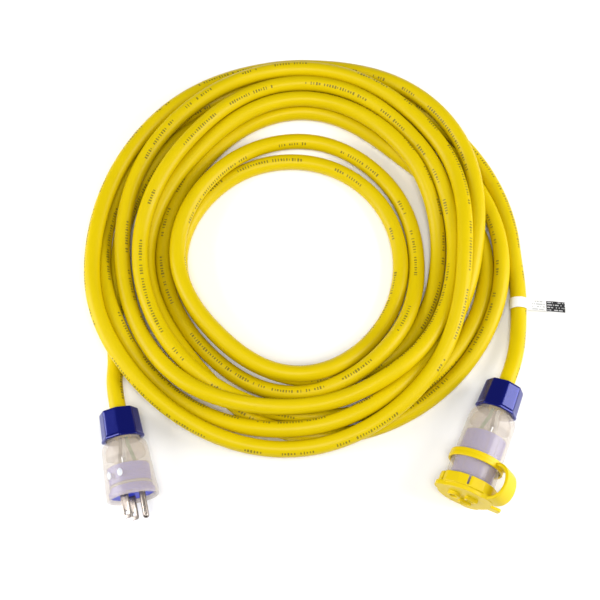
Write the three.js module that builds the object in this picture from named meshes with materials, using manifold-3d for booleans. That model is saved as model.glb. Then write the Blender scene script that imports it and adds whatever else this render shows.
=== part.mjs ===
// A 25 ft yellow shore power cord, coiled on the floor: a watertight straight-blade plug on one end and a
// watertight connector with a tethered closure cap on the other.
// Millimetres, +Z up. The coil is laid out about its own centre, and the whole group is then moved so that
// the origin lies on the floor, midway between the plug and the connector.
import * as THREE from "three";
import { mergeVertices } from "three/addons/utils/BufferGeometryUtils.js";
import Module from "manifold-3d";

const wasm = await Module();
wasm.setup();

// ---------------------------------------------------------------------------------- driving dimensions

const GAP = 0.3; // between pieces that touch
const ROUND = 30; // facets of a turned piece that can be seen
const HIDDEN_ROUND = 20; // facets of a turned piece inside
const SMALL_ROUND = 10; // facets of a screw, pin or hole

// The cord: three conductors in one jacket.
const CORD_DIAMETER = 12.7;
const CONDUCTOR_RADIUS = 1.5;
const CORD_SIDES = 10;
const CONDUCTOR_SIDES = 6;

// The coil: six to seven outer turns lying in two to three layers, and two inner turns.
const COIL_INNER_RADIUS = 105;
const COIL_OUTER_RADIUS = 168;
const COIL_HEIGHT = 31;
const INNER_COIL_GAP = 4; // between the inner turns and the outer ones
const INNER_COIL_WIDTH = 18;
const INNER_COIL_HEIGHT = 18;
const INNER_COIL_CENTRE = [-1, 1];
const COIL_CORNER = 6; // how far a coil's corners are drawn in
const COIL_FACETS = 44;

// The gland at the back of each fitting, measured along the fitting from the back of its nut.
const NUT_LENGTH = 23;
const NUT_WALL = 3.4; // at a corner, outside the thread
const NUT_BACK_TAPER = 1.2; // how much narrower the nut's back is
const NUT_SIDES = 8;
const NUT_END_WALL = 3.2;
const WASHER_THICKNESS = 1.6;
const GROMMET_LENGTH = 10.5;
const GROMMET_PROUD = 2.2; // how far the grommet stands out of the collar
const GROMMET_WALL = 3.95;
const COLLAR_WALL = 2;
const COLLAR_SHOWING = 3; // the stretch of thread between the nut and the body's shoulder
const CORD_CLEARANCE = 0.8; // round the cord, where it runs through the nut, the washer and the collar
const JACKET_PAST_GROMMET = 5; // how far the jacket runs on inside the fitting

// The contacts: two flat blades and a round ground pin.
const BLADE_SPACING = 12.7;
const BLADE_WIDTH = 6.35;
const BLADE_THICKNESS = 1.5;
const BLADE_HOLE_RADIUS = 1.6;
const BLADE_LENGTH = 18.2; // from the plug's face
const BLADE_LINE = -4; // the blades' line, measured from the fitting's axis towards the ground pin
const GROUND_SPACING = 11.9; // from the blades' line to the ground pin
const GROUND_RADIUS = 2.4;
const GROUND_LENGTH = 20.6;

// The terminal behind each contact: a foot, a clamp plate and a screw.
const FOOT_THICKNESS = 1.2;
const FOOT_INSET = 0.95; // how much narrower a foot is than a blade
const SCREW_RADIUS = 1.4;
const SCREW_HEAD_RADIUS = 2.2;
const SCREW_HEAD_HEIGHT = 2;
const SCREW_LENGTH = 7; // under the head
const CLAMP_THICKNESS = 1;
const TERMINAL_DEPTH = 12; // of the pocket, from the insert's back

// The insert that carries the contacts, in each fitting's shell.
const INSERT_RADIUS = 16;
const INSERT_BACK = 44;
const INSERT_FLANGE = 1.4; // how far the flange behind the face stands out, and half its depth
const LEDGE_THICKNESS = 5.5;
const LEDGE_BORE = 9.5;
const SHELL_WALL = 2.3;
const SEAL_SETBACK = 8; // from the insert's face to the ring seal
const SEAL_SECTION = 1.9;
const ASSEMBLY_SCREW_INSET = 3.7; // of the two assembly screws, from the insert's side
const ASSEMBLY_SCREW_ANGLE = 78; // degrees either side of the ground pin

// The plug.
const PLUG_LENGTH = 69; // from the back of the nut to the rim
const PLUG_SHOULDER_WALL = 1.7; // outside the insert
const PLUG_RIM_WALL = 2.3; // outside the insert's flange
const PLUG_RECESS = 3.2; // from the rim to the face
const PLUG_AT = [-140, -127];
const PLUG_HEADING = 12; // degrees, from straight towards the viewer
const PLUG_TILT = 3.2;
const PLUG_ROLL = 18;

// The connector.
const CONNECTOR_LENGTH = 91; // from the back of the nut to the mouth
const CONNECTOR_SHOULDER_WALL = 2.1; // outside the insert
const CONNECTOR_MOUTH_WALL = 1.7; // outside the insert's flange
const CONNECTOR_RECESS = 2;
const CONNECTOR_AT = [159, -107];
const CONNECTOR_HEADING = -22.5;
const CONNECTOR_TILT = 5.2;
const CONNECTOR_ROLL = 165;
const GROOVE_SETBACK = 10.4; // from the mouth to the groove round the body
const GROOVE_WIDTH = 1.2;
const GROOVE_DEPTH = 0.9;
const CONTACT_LEAF = 0.8;
const CONTACT_PLAY = 0.15; // between a contact and the blade or pin that comes into it
const CONTACT_CHAMBER = 4.6;
const RIB_COUNT = 12; // ribs along the connector's insert
const RIB_DEPTH = 0.8;

// The closure cap, its strap and the band that holds them on the connector.
const BAND_SETBACK = 28; // from the mouth to the back of the band
const BAND_WIDTH = 6.5;
const BAND_THICKNESS = 1.7;
const CAP_SKIRT = 7.6; // how far the skirt reaches back over the mouth
const CAP_SKIRT_THICKNESS = 3;
const CAP_SKIRT_SIDES = 14;
const CAP_NOTCHES = 5;
const CAP_NOTCH_WIDTH = 1.4;
const CAP_DISC_OVERHANG = 0.7; // outside the skirt
const CAP_DISC_THICKNESS = 3.8;
const CAP_LOBE_RADIUS = 9;
const CAP_LOBE_INSET = 3.8; // of the lobes' middles, from the outside of the mouth
const CAP_LOBE_ANGLE = 127; // degrees either side of the ground pin, for the blades' lobes
const CAP_BOSS_HEIGHT = 2.6;
const CAP_BOSS_WALL = 1.6;
const CAP_PEG_DEPTH = 3.4; // into the insert's slots
const STRAP_ANGLE = 35; // degrees above the level, on the connector's right
const STRAP_WIDTH = 16;
const STRAP_THICKNESS = 2.8;
const STRAP_REACH = 10.5; // how far the loop stands out beyond the cap's edge
const TAB_LENGTH = 6;
const TAB_WIDTH = 8;

// The tag on the connector's lead.
const TAG_WIDTH = 8.6;
const TAG_LENGTH = 31;
const TAG_THICKNESS = 0.5;

// The leads, from the gland of each fitting to the edge of the coil, as points about the coil's centre.
// Each lead starts with a straight stretch out of its nut, which these points follow.
const LEAD_STRAIGHT = 14;
const PLUG_LEAD = [
  [-144, -106.5, 14.4],
  [-144.6, -101.5, 13.6],
];
const CONNECTOR_LEAD = [
  [167.6, -84.5, 13.1],
  [170.6, -72.5, 11.2],
  [173, -54, 8.6],
  [173.8, -38, 7.2],
  [173.6, -22, 6.6],
];
const TAG_POINT = 3; // the tag is wrapped round the lead at this point of CONNECTOR_LEAD

// ------------------------------------------------------------------------------------------- materials

const paint = (color, roughness, metalness = 0) =>
  new THREE.MeshStandardMaterial({ color, roughness, metalness });
const JACKET = paint("#f2d70a", 0.55);
const CAP_RUBBER = paint("#f7d90c", 0.5);
const NUT_PLASTIC = paint("#1f2fae", 0.2);
const SHELL_PLASTIC = new THREE.MeshStandardMaterial({
  color: "#e6dccb",
  roughness: 0.35,
  transparent: true,
  opacity: 0.6,
});
const INSERT_PLASTIC = paint("#3c4fc0", 0.4);
const NICKEL = paint("#c9c5bd", 0.25, 1);
const BRASS = paint("#c9a24c", 0.35, 1);
const STEEL = paint("#9a9da1", 0.35, 1);
const GROMMET_RUBBER = paint("#2b2b2b", 0.8);
const WASHER_PLASTIC = paint("#e9e6dc", 0.5);
const TAG_VINYL = paint("#f4f4f2", 0.6);
const WIRE_BLACK = paint("#1a1a1a", 0.5);
const WIRE_WHITE = paint("#ececec", 0.5);
const WIRE_GREEN = paint("#1f8a3a", 0.5);

// -------------------------------------------------------------------------------------- shape functions

const rad = THREE.MathUtils.degToRad;

function toSolid(geometry) {
  const bare = geometry.clone();
  bare.deleteAttribute("normal");
  bare.deleteAttribute("uv");
  const merged = mergeVertices(bare, 1e-4);
  const mesh = new wasm.Mesh({
    numProp: 3,
    vertProperties: new Float32Array(merged.attributes.position.array),
    triVerts: new Uint32Array(merged.index.array),
  });
  return new wasm.Manifold(mesh);
}

function toGeometry(solid) {
  const mesh = solid.getMesh();
  const geometry = new THREE.BufferGeometry();
  geometry.setAttribute("position", new THREE.BufferAttribute(mesh.vertProperties, 3));
  geometry.setIndex(new THREE.BufferAttribute(mesh.triVerts, 1));
  return geometry;
}

function combine(operation, first, others) {
  let solid = toSolid(first);
  for (const other of others) solid = solid[operation](toSolid(other));
  return toGeometry(solid);
}
const cut = (from, ...tools) => combine("subtract", from, tools);
const join = (first, ...others) => combine("add", first, others);

// A piece turned about the Z axis from a closed outline of [radius, height] points, anticlockwise.
function turned(outline, facets = ROUND) {
  const points = [...outline, outline[0]].map(([radius, height]) => new THREE.Vector2(radius, height));
  return new THREE.LatheGeometry(points, facets).rotateX(Math.PI / 2);
}

// A plain ring between two radii and two heights.
function ring(inner, outer, bottom, top, facets = ROUND) {
  return turned([[inner, bottom], [outer, bottom], [outer, top], [inner, top]], facets);
}

// A round bar along Z.
function bar(radius, bottom, top, x = 0, y = 0, facets = SMALL_ROUND) {
  return new THREE.CylinderGeometry(radius, radius, top - bottom, facets)
    .rotateX(Math.PI / 2)
    .translate(x, y, (bottom + top) / 2);
}

// A box between two corners.
function block([x0, y0, z0], [x1, y1, z1]) {
  return new THREE.BoxGeometry(x1 - x0, y1 - y0, z1 - z0)
    .translate((x0 + x1) / 2, (y0 + y1) / 2, (z0 + z1) / 2);
}

// A round pipe along a smooth curve through the points.
function pipe(points, radius, sides, steps) {
  const section = new THREE.Shape();
  for (let i = 0; i < sides; i++) {
    const angle = (i / sides) * 2 * Math.PI;
    const corner = [radius * Math.cos(angle), radius * Math.sin(angle)];
    if (i) section.lineTo(...corner);
    else section.moveTo(...corner);
  }
  const extrudePath = new THREE.CatmullRomCurve3(points, false, "centripetal");
  return new THREE.ExtrudeGeometry(section, { steps, extrudePath });
}

// An outline in a plane that holds the Z axis: [distance from the axis, height] points, given a width
// across that plane and turned to an angle about the axis.
function radialPlate(outline, width, angle) {
  const shape = new THREE.Shape(outline.map(([distance, height]) => new THREE.Vector2(distance, height)));
  return new THREE.ExtrudeGeometry(shape, { depth: width, bevelEnabled: false })
    .translate(0, 0, -width / 2)
    .rotateX(Math.PI / 2)
    .rotateZ(angle);
}

function piece(group, name, geometry, material) {
  const mesh = new THREE.Mesh(geometry, material);
  mesh.name = name;
  group.add(mesh);
  return mesh;
}

// ------------------------------------------------------------------------------ the gland of each fitting

const cordRadius = CORD_DIAMETER / 2;
const cordHole = cordRadius + CORD_CLEARANCE;
const grommetRadius = cordRadius + GAP + GROMMET_WALL;
const threadRadius = grommetRadius + GAP + COLLAR_WALL;
const nutRadius = threadRadius + GAP + NUT_WALL;
const washerBack = NUT_END_WALL + GAP;
const grommetBack = washerBack + WASHER_THICKNESS + GAP;
const collarBack = grommetBack + GROMMET_PROUD;
const shoulderStart = NUT_LENGTH + COLLAR_SHOWING;
const grommetFront = grommetBack + GROMMET_LENGTH;
const jacketEnd = grommetFront + JACKET_PAST_GROMMET;

function addGland(group, prefix) {
  const blank = turned(
    [
      [0, 0],
      [nutRadius - NUT_BACK_TAPER, 0],
      [nutRadius - 0.3, 1.8],
      [nutRadius, NUT_LENGTH],
      [0, NUT_LENGTH],
    ],
    NUT_SIDES,
  );
  const bore = bar(threadRadius + GAP, NUT_END_WALL, NUT_LENGTH + 1, 0, 0, ROUND);
  const throat = bar(cordHole, -1, NUT_END_WALL + 1, 0, 0, HIDDEN_ROUND);
  piece(group, `${prefix}_nut`, cut(blank, bore, throat), NUT_PLASTIC);

  const washer = ring(cordHole, grommetRadius, washerBack, washerBack + WASHER_THICKNESS, HIDDEN_ROUND);
  piece(group, `${prefix}_slip_washer`, washer, WASHER_PLASTIC);

  const gripRadius = cordRadius + GAP;
  const grommet = turned(
    [
      [gripRadius, grommetBack],
      [grommetRadius - 1.4, grommetBack],
      [grommetRadius, grommetBack + GROMMET_PROUD],
      [grommetRadius, grommetFront - 2],
      [grommetRadius - 1.6, grommetFront],
      [gripRadius, grommetFront],
    ],
    HIDDEN_ROUND,
  );
  piece(group, `${prefix}_grommet`, grommet, GROMMET_RUBBER);
}

// The inside of a shell, from its mouth back to the collar's end: insert seat, ledge, wiring space and
// grommet seat.
function shellInside(mouth, face, shoulderRadius) {
  const mouthRadius = INSERT_RADIUS + INSERT_FLANGE + GAP;
  const flangeBack = face - 2 * INSERT_FLANGE - GAP;
  const ledgeFront = INSERT_BACK - GAP;
  const ledgeBack = ledgeFront - LEDGE_THICKNESS;
  return [
    [mouthRadius, mouth],
    [mouthRadius, flangeBack],
    [INSERT_RADIUS + GAP, flangeBack],
    [INSERT_RADIUS + GAP, ledgeFront],
    [LEDGE_BORE, ledgeFront],
    [LEDGE_BORE, ledgeBack],
    [shoulderRadius - SHELL_WALL, ledgeBack - 1.5],
    [shoulderRadius - SHELL_WALL - 1, shoulderStart + 4],
    [LEDGE_BORE, shoulderStart - 3],
    [cordHole, grommetFront + 3.5],
    [cordHole, grommetFront + GAP],
    [grommetRadius + GAP, grommetFront + GAP],
    [grommetRadius + GAP, collarBack],
  ];
}

// The outside of a shell's back half: the thread and the rounded shoulder.
function shoulderOutside(radius) {
  return [
    [threadRadius, collarBack],
    [threadRadius, shoulderStart - 1.4],
    [radius - 3, shoulderStart - 0.6],
    [radius - 1.4, shoulderStart + 1],
    [radius - 0.4, shoulderStart + 3.4],
    [radius, shoulderStart + 7],
  ];
}

// Holes for the two assembly screws, in the pieces that they pass through.
function assemblyPlaces() {
  const radius = INSERT_RADIUS - ASSEMBLY_SCREW_INSET;
  return [-1, 1].map((side) => {
    const angle = rad(side * ASSEMBLY_SCREW_ANGLE);
    return [radius * Math.cos(angle), radius * Math.sin(angle)];
  });
}

function assemblyHoles(from, to, radius) {
  return assemblyPlaces().map(([x, y]) => bar(radius, from, to, x, y));
}

function addAssemblyScrews(group, prefix, face) {
  const tip = INSERT_BACK - GAP - LEDGE_THICKNESS + 1;
  const headBack = face - 0.4 - SCREW_HEAD_HEIGHT;
  assemblyPlaces().forEach(([x, y], i) => {
    const head = bar(SCREW_HEAD_RADIUS, headBack, headBack + SCREW_HEAD_HEIGHT, x, y);
    const shank = bar(SCREW_RADIUS, tip, headBack + 1, x, y);
    const crossways = [
      block([x - 0.35, y - 1.5, headBack + 1], [x + 0.35, y + 1.5, face]),
      block([x - 1.5, y - 0.35, headBack + 1], [x + 1.5, y + 0.35, face]),
    ];
    piece(group, `${prefix}_assembly_screw_${i + 1}`, cut(join(head, shank), ...crossways), STEEL);
  });
}

// ----------------------------------------------------------------------------------- contacts and terminals

// Each terminal lies in a frame of its own: its contact at the frame's origin, and +Y the way its foot
// runs. The blades' feet run away from each other, and the ground pin's runs back to the blades' line.
const groundAt = BLADE_LINE + GROUND_SPACING;
const bladeTerminal = { screwAt: 3.4, foot: [-0.75, 5.7] };
const groundTerminal = { screwAt: 5.6, foot: [-2.5, 8] };
const bladeAt = BLADE_SPACING / 2;
const TERMINALS = [
  { ...bladeTerminal, name: "line", at: [BLADE_LINE, bladeAt], turn: 0, wire: WIRE_BLACK },
  { ...bladeTerminal, name: "neutral", at: [BLADE_LINE, -bladeAt], turn: Math.PI, wire: WIRE_WHITE },
  { ...groundTerminal, name: "ground", at: [groundAt, 0], turn: Math.PI / 2, wire: WIRE_GREEN },
];
const POCKET_MARGIN = 0.6;
const WIRE_POCKET = 2; // room for the conductor, beside the foot

const footWidth = BLADE_WIDTH - FOOT_INSET;
const footFront = INSERT_BACK + TERMINAL_DEPTH - 0.4;
const footBack = footFront - FOOT_THICKNESS;
const clampFront = footBack - 1;
const headFront = clampFront - CLAMP_THICKNESS - GAP;

// Turns a shape from a terminal's own frame into the insert's.
const place = (geometry, terminal) =>
  geometry.rotateZ(terminal.turn).translate(...terminal.at, 0);

function terminalCuts(terminal) {
  const halfWidth = footWidth / 2 + POCKET_MARGIN;
  const [start, end] = terminal.foot;
  const back = terminal.name === "ground" ? start - 1 : start - WIRE_POCKET + 0.4;
  const pocket = block(
    [-halfWidth, back, INSERT_BACK - 1],
    [halfWidth, end + POCKET_MARGIN, INSERT_BACK + TERMINAL_DEPTH],
  );
  const screwHole = bar(
    SCREW_RADIUS + GAP,
    INSERT_BACK + TERMINAL_DEPTH - 1,
    headFront + SCREW_LENGTH + 1,
    0,
    terminal.screwAt,
  );
  return [place(pocket, terminal), place(screwHole, terminal)];
}

function footOf(terminal) {
  const [start, end] = terminal.foot;
  const plate = block([-footWidth / 2, start, footBack], [footWidth / 2, end, footFront]);
  return cut(plate, bar(SCREW_RADIUS + GAP, footBack - 1, footFront + 1, 0, terminal.screwAt));
}

function addTerminalHardware(group, prefix, terminal) {
  const clampBack = clampFront - CLAMP_THICKNESS;
  const clamp = cut(
    block([-2.3, terminal.screwAt - 1.9, clampBack], [2.3, terminal.foot[1] - 0.1, clampFront]),
    bar(SCREW_RADIUS + GAP, clampBack - 1, clampFront + 1, 0, terminal.screwAt),
  );
  piece(group, `${prefix}_${terminal.name}_clamp`, place(clamp, terminal), BRASS);

  const headBack = headFront - SCREW_HEAD_HEIGHT;
  const screw = cut(
    join(
      bar(SCREW_HEAD_RADIUS, headBack, headFront, 0, terminal.screwAt),
      bar(SCREW_RADIUS, headFront - 0.5, headFront + SCREW_LENGTH, 0, terminal.screwAt),
    ),
    block([-0.35, terminal.screwAt - 3, headBack - 1], [0.35, terminal.screwAt + 3, headBack + 0.9]),
  );
  piece(group, `${prefix}_${terminal.name}_screw`, place(screw, terminal), STEEL);
}

// A conductor runs from the end of the jacket to its terminal, beside the screw. It starts round the
// cord's axis, on the side that its terminal lies.
function addConductor(group, prefix, terminal) {
  const beside = terminal.name === "ground" ? 0.6 : -0.7;
  const end = new THREE.Vector3(0, beside, footBack - 0.5);
  end.applyAxisAngle(new THREE.Vector3(0, 0, 1), terminal.turn).add(new THREE.Vector3(...terminal.at, 0));
  const side = new THREE.Vector3(...terminal.at, 0).setLength(2.8);
  const points = [
    side.clone().setZ(jacketEnd + GAP),
    side.clone().setZ(jacketEnd + 4),
    end.clone().setZ(INSERT_BACK - 7),
    end.clone().setZ(INSERT_BACK + 1),
    end,
  ];
  points[2].lerp(points[1].clone().setZ(points[2].z), 0.35);
  const geometry = pipe(points, CONDUCTOR_RADIUS, CONDUCTOR_SIDES, 6);
  piece(group, `${prefix}_${terminal.name}_conductor`, geometry, terminal.wire);
}

function insertOutline(face) {
  const sealBack = face - SEAL_SETBACK;
  const sealFloor = INSERT_RADIUS - SEAL_SECTION + 0.4;
  const flangeBack = face - 2 * INSERT_FLANGE;
  return [
    [0, INSERT_BACK],
    [INSERT_RADIUS - 1, INSERT_BACK],
    [INSERT_RADIUS, INSERT_BACK + 1],
    [INSERT_RADIUS, sealBack],
    [sealFloor - GAP, sealBack],
    [sealFloor - GAP, sealBack + SEAL_SECTION + 2 * GAP],
    [INSERT_RADIUS, sealBack + SEAL_SECTION + 2 * GAP],
    [INSERT_RADIUS, flangeBack],
    [INSERT_RADIUS + INSERT_FLANGE, flangeBack],
    [INSERT_RADIUS + INSERT_FLANGE, face],
    [0, face],
  ];
}

function addSeal(group, prefix, face) {
  const back = face - SEAL_SETBACK + GAP;
  const inner = INSERT_RADIUS - SEAL_SECTION + 0.4;
  const middle = back + SEAL_SECTION / 2;
  const seal = turned(
    [
      [inner, middle],
      [inner + 0.5, back],
      [inner + 1, back],
      [inner + 1.5, middle],
      [inner + 1, back + SEAL_SECTION],
      [inner + 0.5, back + SEAL_SECTION],
    ],
    HIDDEN_ROUND,
  );
  piece(group, `${prefix}_ring_seal`, seal, GROMMET_RUBBER);
}

// ---------------------------------------------------------------------------------------------- the plug

// Slots and holes for the contacts, through the insert's face. The margin is left round each contact.
function contactHoles(from, to, margin) {
  const slots = [-1, 1].map((side) => {
    const middle = (side * BLADE_SPACING) / 2;
    const halfWidth = BLADE_WIDTH / 2 + margin;
    const halfThickness = BLADE_THICKNESS / 2 + margin;
    return block(
      [BLADE_LINE - halfWidth, middle - halfThickness, from],
      [BLADE_LINE + halfWidth, middle + halfThickness, to],
    );
  });
  return [...slots, bar(GROUND_RADIUS + margin, from, to, groundAt, 0)];
}

function addBlades(group, face) {
  const tip = face + BLADE_LENGTH;
  for (const terminal of TERMINALS.slice(0, 2)) {
    const halfWidth = BLADE_WIDTH / 2;
    const outline = new THREE.Shape();
    outline.moveTo(-halfWidth, footFront - 0.4);
    outline.lineTo(halfWidth, footFront - 0.4);
    outline.lineTo(halfWidth, tip - 2);
    outline.lineTo(halfWidth - 1.2, tip);
    outline.lineTo(-halfWidth + 1.2, tip);
    outline.lineTo(-halfWidth, tip - 2);
    const hole = new THREE.Path().absarc(0, tip - 4.2, BLADE_HOLE_RADIUS, 0, 2 * Math.PI, true);
    outline.holes.push(hole);
    const extrusion = { depth: BLADE_THICKNESS, bevelEnabled: false, curveSegments: 8 };
    const blade = new THREE.ExtrudeGeometry(outline, extrusion)
      .translate(0, 0, -BLADE_THICKNESS / 2)
      .rotateX(Math.PI / 2);
    const whole = join(blade, footOf(terminal));
    piece(group, `plug_${terminal.name}_blade`, place(whole, terminal), NICKEL);
  }
  const ground = TERMINALS[2];
  const pinTip = face + GROUND_LENGTH;
  const pin = turned(
    [
      [0, footFront - 0.4],
      [GROUND_RADIUS, footFront - 0.4],
      [GROUND_RADIUS, pinTip - 2.2],
      [GROUND_RADIUS - 0.7, pinTip - 0.7],
      [GROUND_RADIUS - 1.7, pinTip],
      [0, pinTip],
    ],
    SMALL_ROUND,
  );
  piece(group, "plug_ground_pin", place(join(pin, footOf(ground)), ground), NICKEL);
}

function addPlug(group) {
  addGland(group, "plug");
  const face = PLUG_LENGTH - PLUG_RECESS;
  const shoulderRadius = INSERT_RADIUS + GAP + PLUG_SHOULDER_WALL;
  const rimRadius = INSERT_RADIUS + INSERT_FLANGE + GAP + PLUG_RIM_WALL;

  const body = turned([
    ...shoulderOutside(shoulderRadius),
    [rimRadius, PLUG_LENGTH - 0.8],
    [rimRadius - 0.6, PLUG_LENGTH],
    ...shellInside(PLUG_LENGTH, face, shoulderRadius),
  ]);
  const screwHoles = assemblyHoles(INSERT_BACK - LEDGE_THICKNESS - 3, INSERT_BACK, SCREW_RADIUS + GAP);
  const contacts = new THREE.Group();
  contacts.rotation.z = rad(PLUG_ROLL);
  group.add(contacts);
  piece(contacts, "plug_body", cut(body, ...screwHoles), SHELL_PLASTIC);

  const insert = cut(
    turned(insertOutline(face)),
    ...TERMINALS.flatMap(terminalCuts),
    ...contactHoles(INSERT_BACK + TERMINAL_DEPTH - 1, face + 1, GAP),
    ...assemblyHoles(INSERT_BACK - 1, face + 1, SCREW_RADIUS + GAP),
    ...assemblyHoles(face - SCREW_HEAD_HEIGHT - 0.8, face + 1, SCREW_HEAD_RADIUS + GAP),
  );
  piece(contacts, "plug_insert", insert, INSERT_PLASTIC);
  addBlades(contacts, face);
  addSeal(contacts, "plug", face);
  addAssemblyScrews(contacts, "plug", face);
  for (const terminal of TERMINALS) {
    addTerminalHardware(contacts, "plug", terminal);
    addConductor(contacts, "plug", terminal);
  }
}

// ----------------------------------------------------------------------------------------- the connector

const connectorFace = CONNECTOR_LENGTH - CONNECTOR_RECESS;
const mouthOuter = INSERT_RADIUS + INSERT_FLANGE + GAP + CONNECTOR_MOUTH_WALL;
const chamberFront = connectorFace - 4;

// A female contact: a foot and two spring leaves that grip what comes in through the face.
function addSpringContacts(group) {
  const inner = BLADE_THICKNESS / 2 + CONTACT_PLAY;
  for (const terminal of TERMINALS.slice(0, 2)) {
    const leaves = [-1, 1].map((side) => {
      const near = side > 0 ? inner : -inner - CONTACT_LEAF;
      return block(
        [-BLADE_WIDTH / 2, near, footFront - 0.4],
        [BLADE_WIDTH / 2, near + CONTACT_LEAF, chamberFront - 0.6],
      );
    });
    const web = block(
      [-BLADE_WIDTH / 2, -inner - CONTACT_LEAF, footBack],
      [BLADE_WIDTH / 2, inner + CONTACT_LEAF, footFront],
    );
    const contact = join(web, footOf(terminal), ...leaves);
    piece(group, `connector_${terminal.name}_contact`, place(contact, terminal), BRASS);
  }
  const ground = TERMINALS[2];
  const sleeveInner = GROUND_RADIUS + CONTACT_PLAY;
  const sleeveOuter = sleeveInner + CONTACT_LEAF;
  const sleeve = ring(sleeveInner, sleeveOuter, footBack + 0.4, chamberFront - 0.6, SMALL_ROUND);
  const slit = block([-0.5, 0, footFront + 2], [0.5, 5, chamberFront]);
  const plug = bar(sleeveInner + CONTACT_LEAF / 2, footBack, footFront);
  const contact = join(cut(sleeve, slit), plug, footOf(ground));
  piece(group, "connector_ground_contact", place(contact, ground), BRASS);
}

function chambers() {
  const from = INSERT_BACK + TERMINAL_DEPTH - 1;
  const half = CONTACT_CHAMBER / 2;
  const blades = [-1, 1].map((side) => {
    const middle = (side * BLADE_SPACING) / 2;
    return block(
      [BLADE_LINE - BLADE_WIDTH / 2 - GAP, middle - half, from],
      [BLADE_LINE + BLADE_WIDTH / 2 + GAP, middle + half, chamberFront],
    );
  });
  const sleeveOuter = GROUND_RADIUS + CONTACT_PLAY + CONTACT_LEAF;
  return [...blades, bar(sleeveOuter + GAP, from, chamberFront, groundAt, 0)];
}

// The hollows between the ribs of the insert, which show through the shell.
function ribCuts() {
  const back = INSERT_BACK + 2;
  const front = connectorFace - SEAL_SETBACK - 3;
  const width = (Math.PI * INSERT_RADIUS) / RIB_COUNT;
  return Array.from({ length: RIB_COUNT }, (_, i) =>
    block(
      [INSERT_RADIUS - RIB_DEPTH, -width / 2, back],
      [INSERT_RADIUS + 1, width / 2, front],
    ).rotateZ(((i + 0.5) / RIB_COUNT) * 2 * Math.PI),
  );
}

function addConnector(group) {
  addGland(group, "connector");
  const shoulderRadius = INSERT_RADIUS + GAP + CONNECTOR_SHOULDER_WALL;
  const grooveBack = CONNECTOR_LENGTH - GROOVE_SETBACK;
  const body = turned([
    ...shoulderOutside(shoulderRadius),
    [mouthOuter - 0.2, grooveBack - 0.2],
    [mouthOuter - GROOVE_DEPTH, grooveBack],
    [mouthOuter - GROOVE_DEPTH, grooveBack + GROOVE_WIDTH],
    [mouthOuter, grooveBack + GROOVE_WIDTH + 0.2],
    [mouthOuter, CONNECTOR_LENGTH - 0.6],
    [mouthOuter - 0.5, CONNECTOR_LENGTH],
    ...shellInside(CONNECTOR_LENGTH, connectorFace, shoulderRadius),
  ]);
  const screwHoles = assemblyHoles(INSERT_BACK - LEDGE_THICKNESS - 3, INSERT_BACK, SCREW_RADIUS + GAP);
  const contacts = new THREE.Group();
  contacts.rotation.z = rad(CONNECTOR_ROLL);
  group.add(contacts);
  piece(contacts, "connector_body", cut(body, ...screwHoles), SHELL_PLASTIC);

  const insert = cut(
    turned(insertOutline(connectorFace)),
    ...TERMINALS.flatMap(terminalCuts),
    ...chambers(),
    ...contactHoles(chamberFront - 1, connectorFace + 1, 0.5),
    ...assemblyHoles(INSERT_BACK - 1, connectorFace + 1, SCREW_RADIUS + GAP),
    ...assemblyHoles(connectorFace - SCREW_HEAD_HEIGHT - 0.8, connectorFace + 1, SCREW_HEAD_RADIUS + GAP),
    ...ribCuts(),
  );
  piece(contacts, "connector_insert", insert, INSERT_PLASTIC);
  addSpringContacts(contacts);
  addSeal(contacts, "connector", connectorFace);
  addAssemblyScrews(contacts, "connector", connectorFace);
  for (const terminal of TERMINALS) {
    addTerminalHardware(contacts, "connector", terminal);
    addConductor(contacts, "connector", terminal);
  }
  addClosure(group, contacts);
}

// -------------------------------------------------------------------------- closure cap, strap and band

const discBack = CONNECTOR_LENGTH + GAP;
const discFront = discBack + CAP_DISC_THICKNESS;
const discMiddle = (discBack + discFront) / 2;
const bandBack = CONNECTOR_LENGTH - BAND_SETBACK;
const bandMiddle = bandBack + BAND_WIDTH / 2;
const bandInner = mouthOuter + GAP;
const bandOuter = bandInner + BAND_THICKNESS;
const capDiscRadius = bandInner + CAP_SKIRT_THICKNESS + CAP_DISC_OVERHANG;
const lobeRing = mouthOuter - CAP_LOBE_INSET; // radius of the circle that the lobes' middles stand on
const lobeAngle = rad(CAP_LOBE_ANGLE);
const bladeLobe = [lobeRing * Math.cos(lobeAngle), lobeRing * Math.sin(lobeAngle)];
const capEdge = lobeRing + CAP_LOBE_RADIUS; // the furthest that the cap's disc reaches

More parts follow.
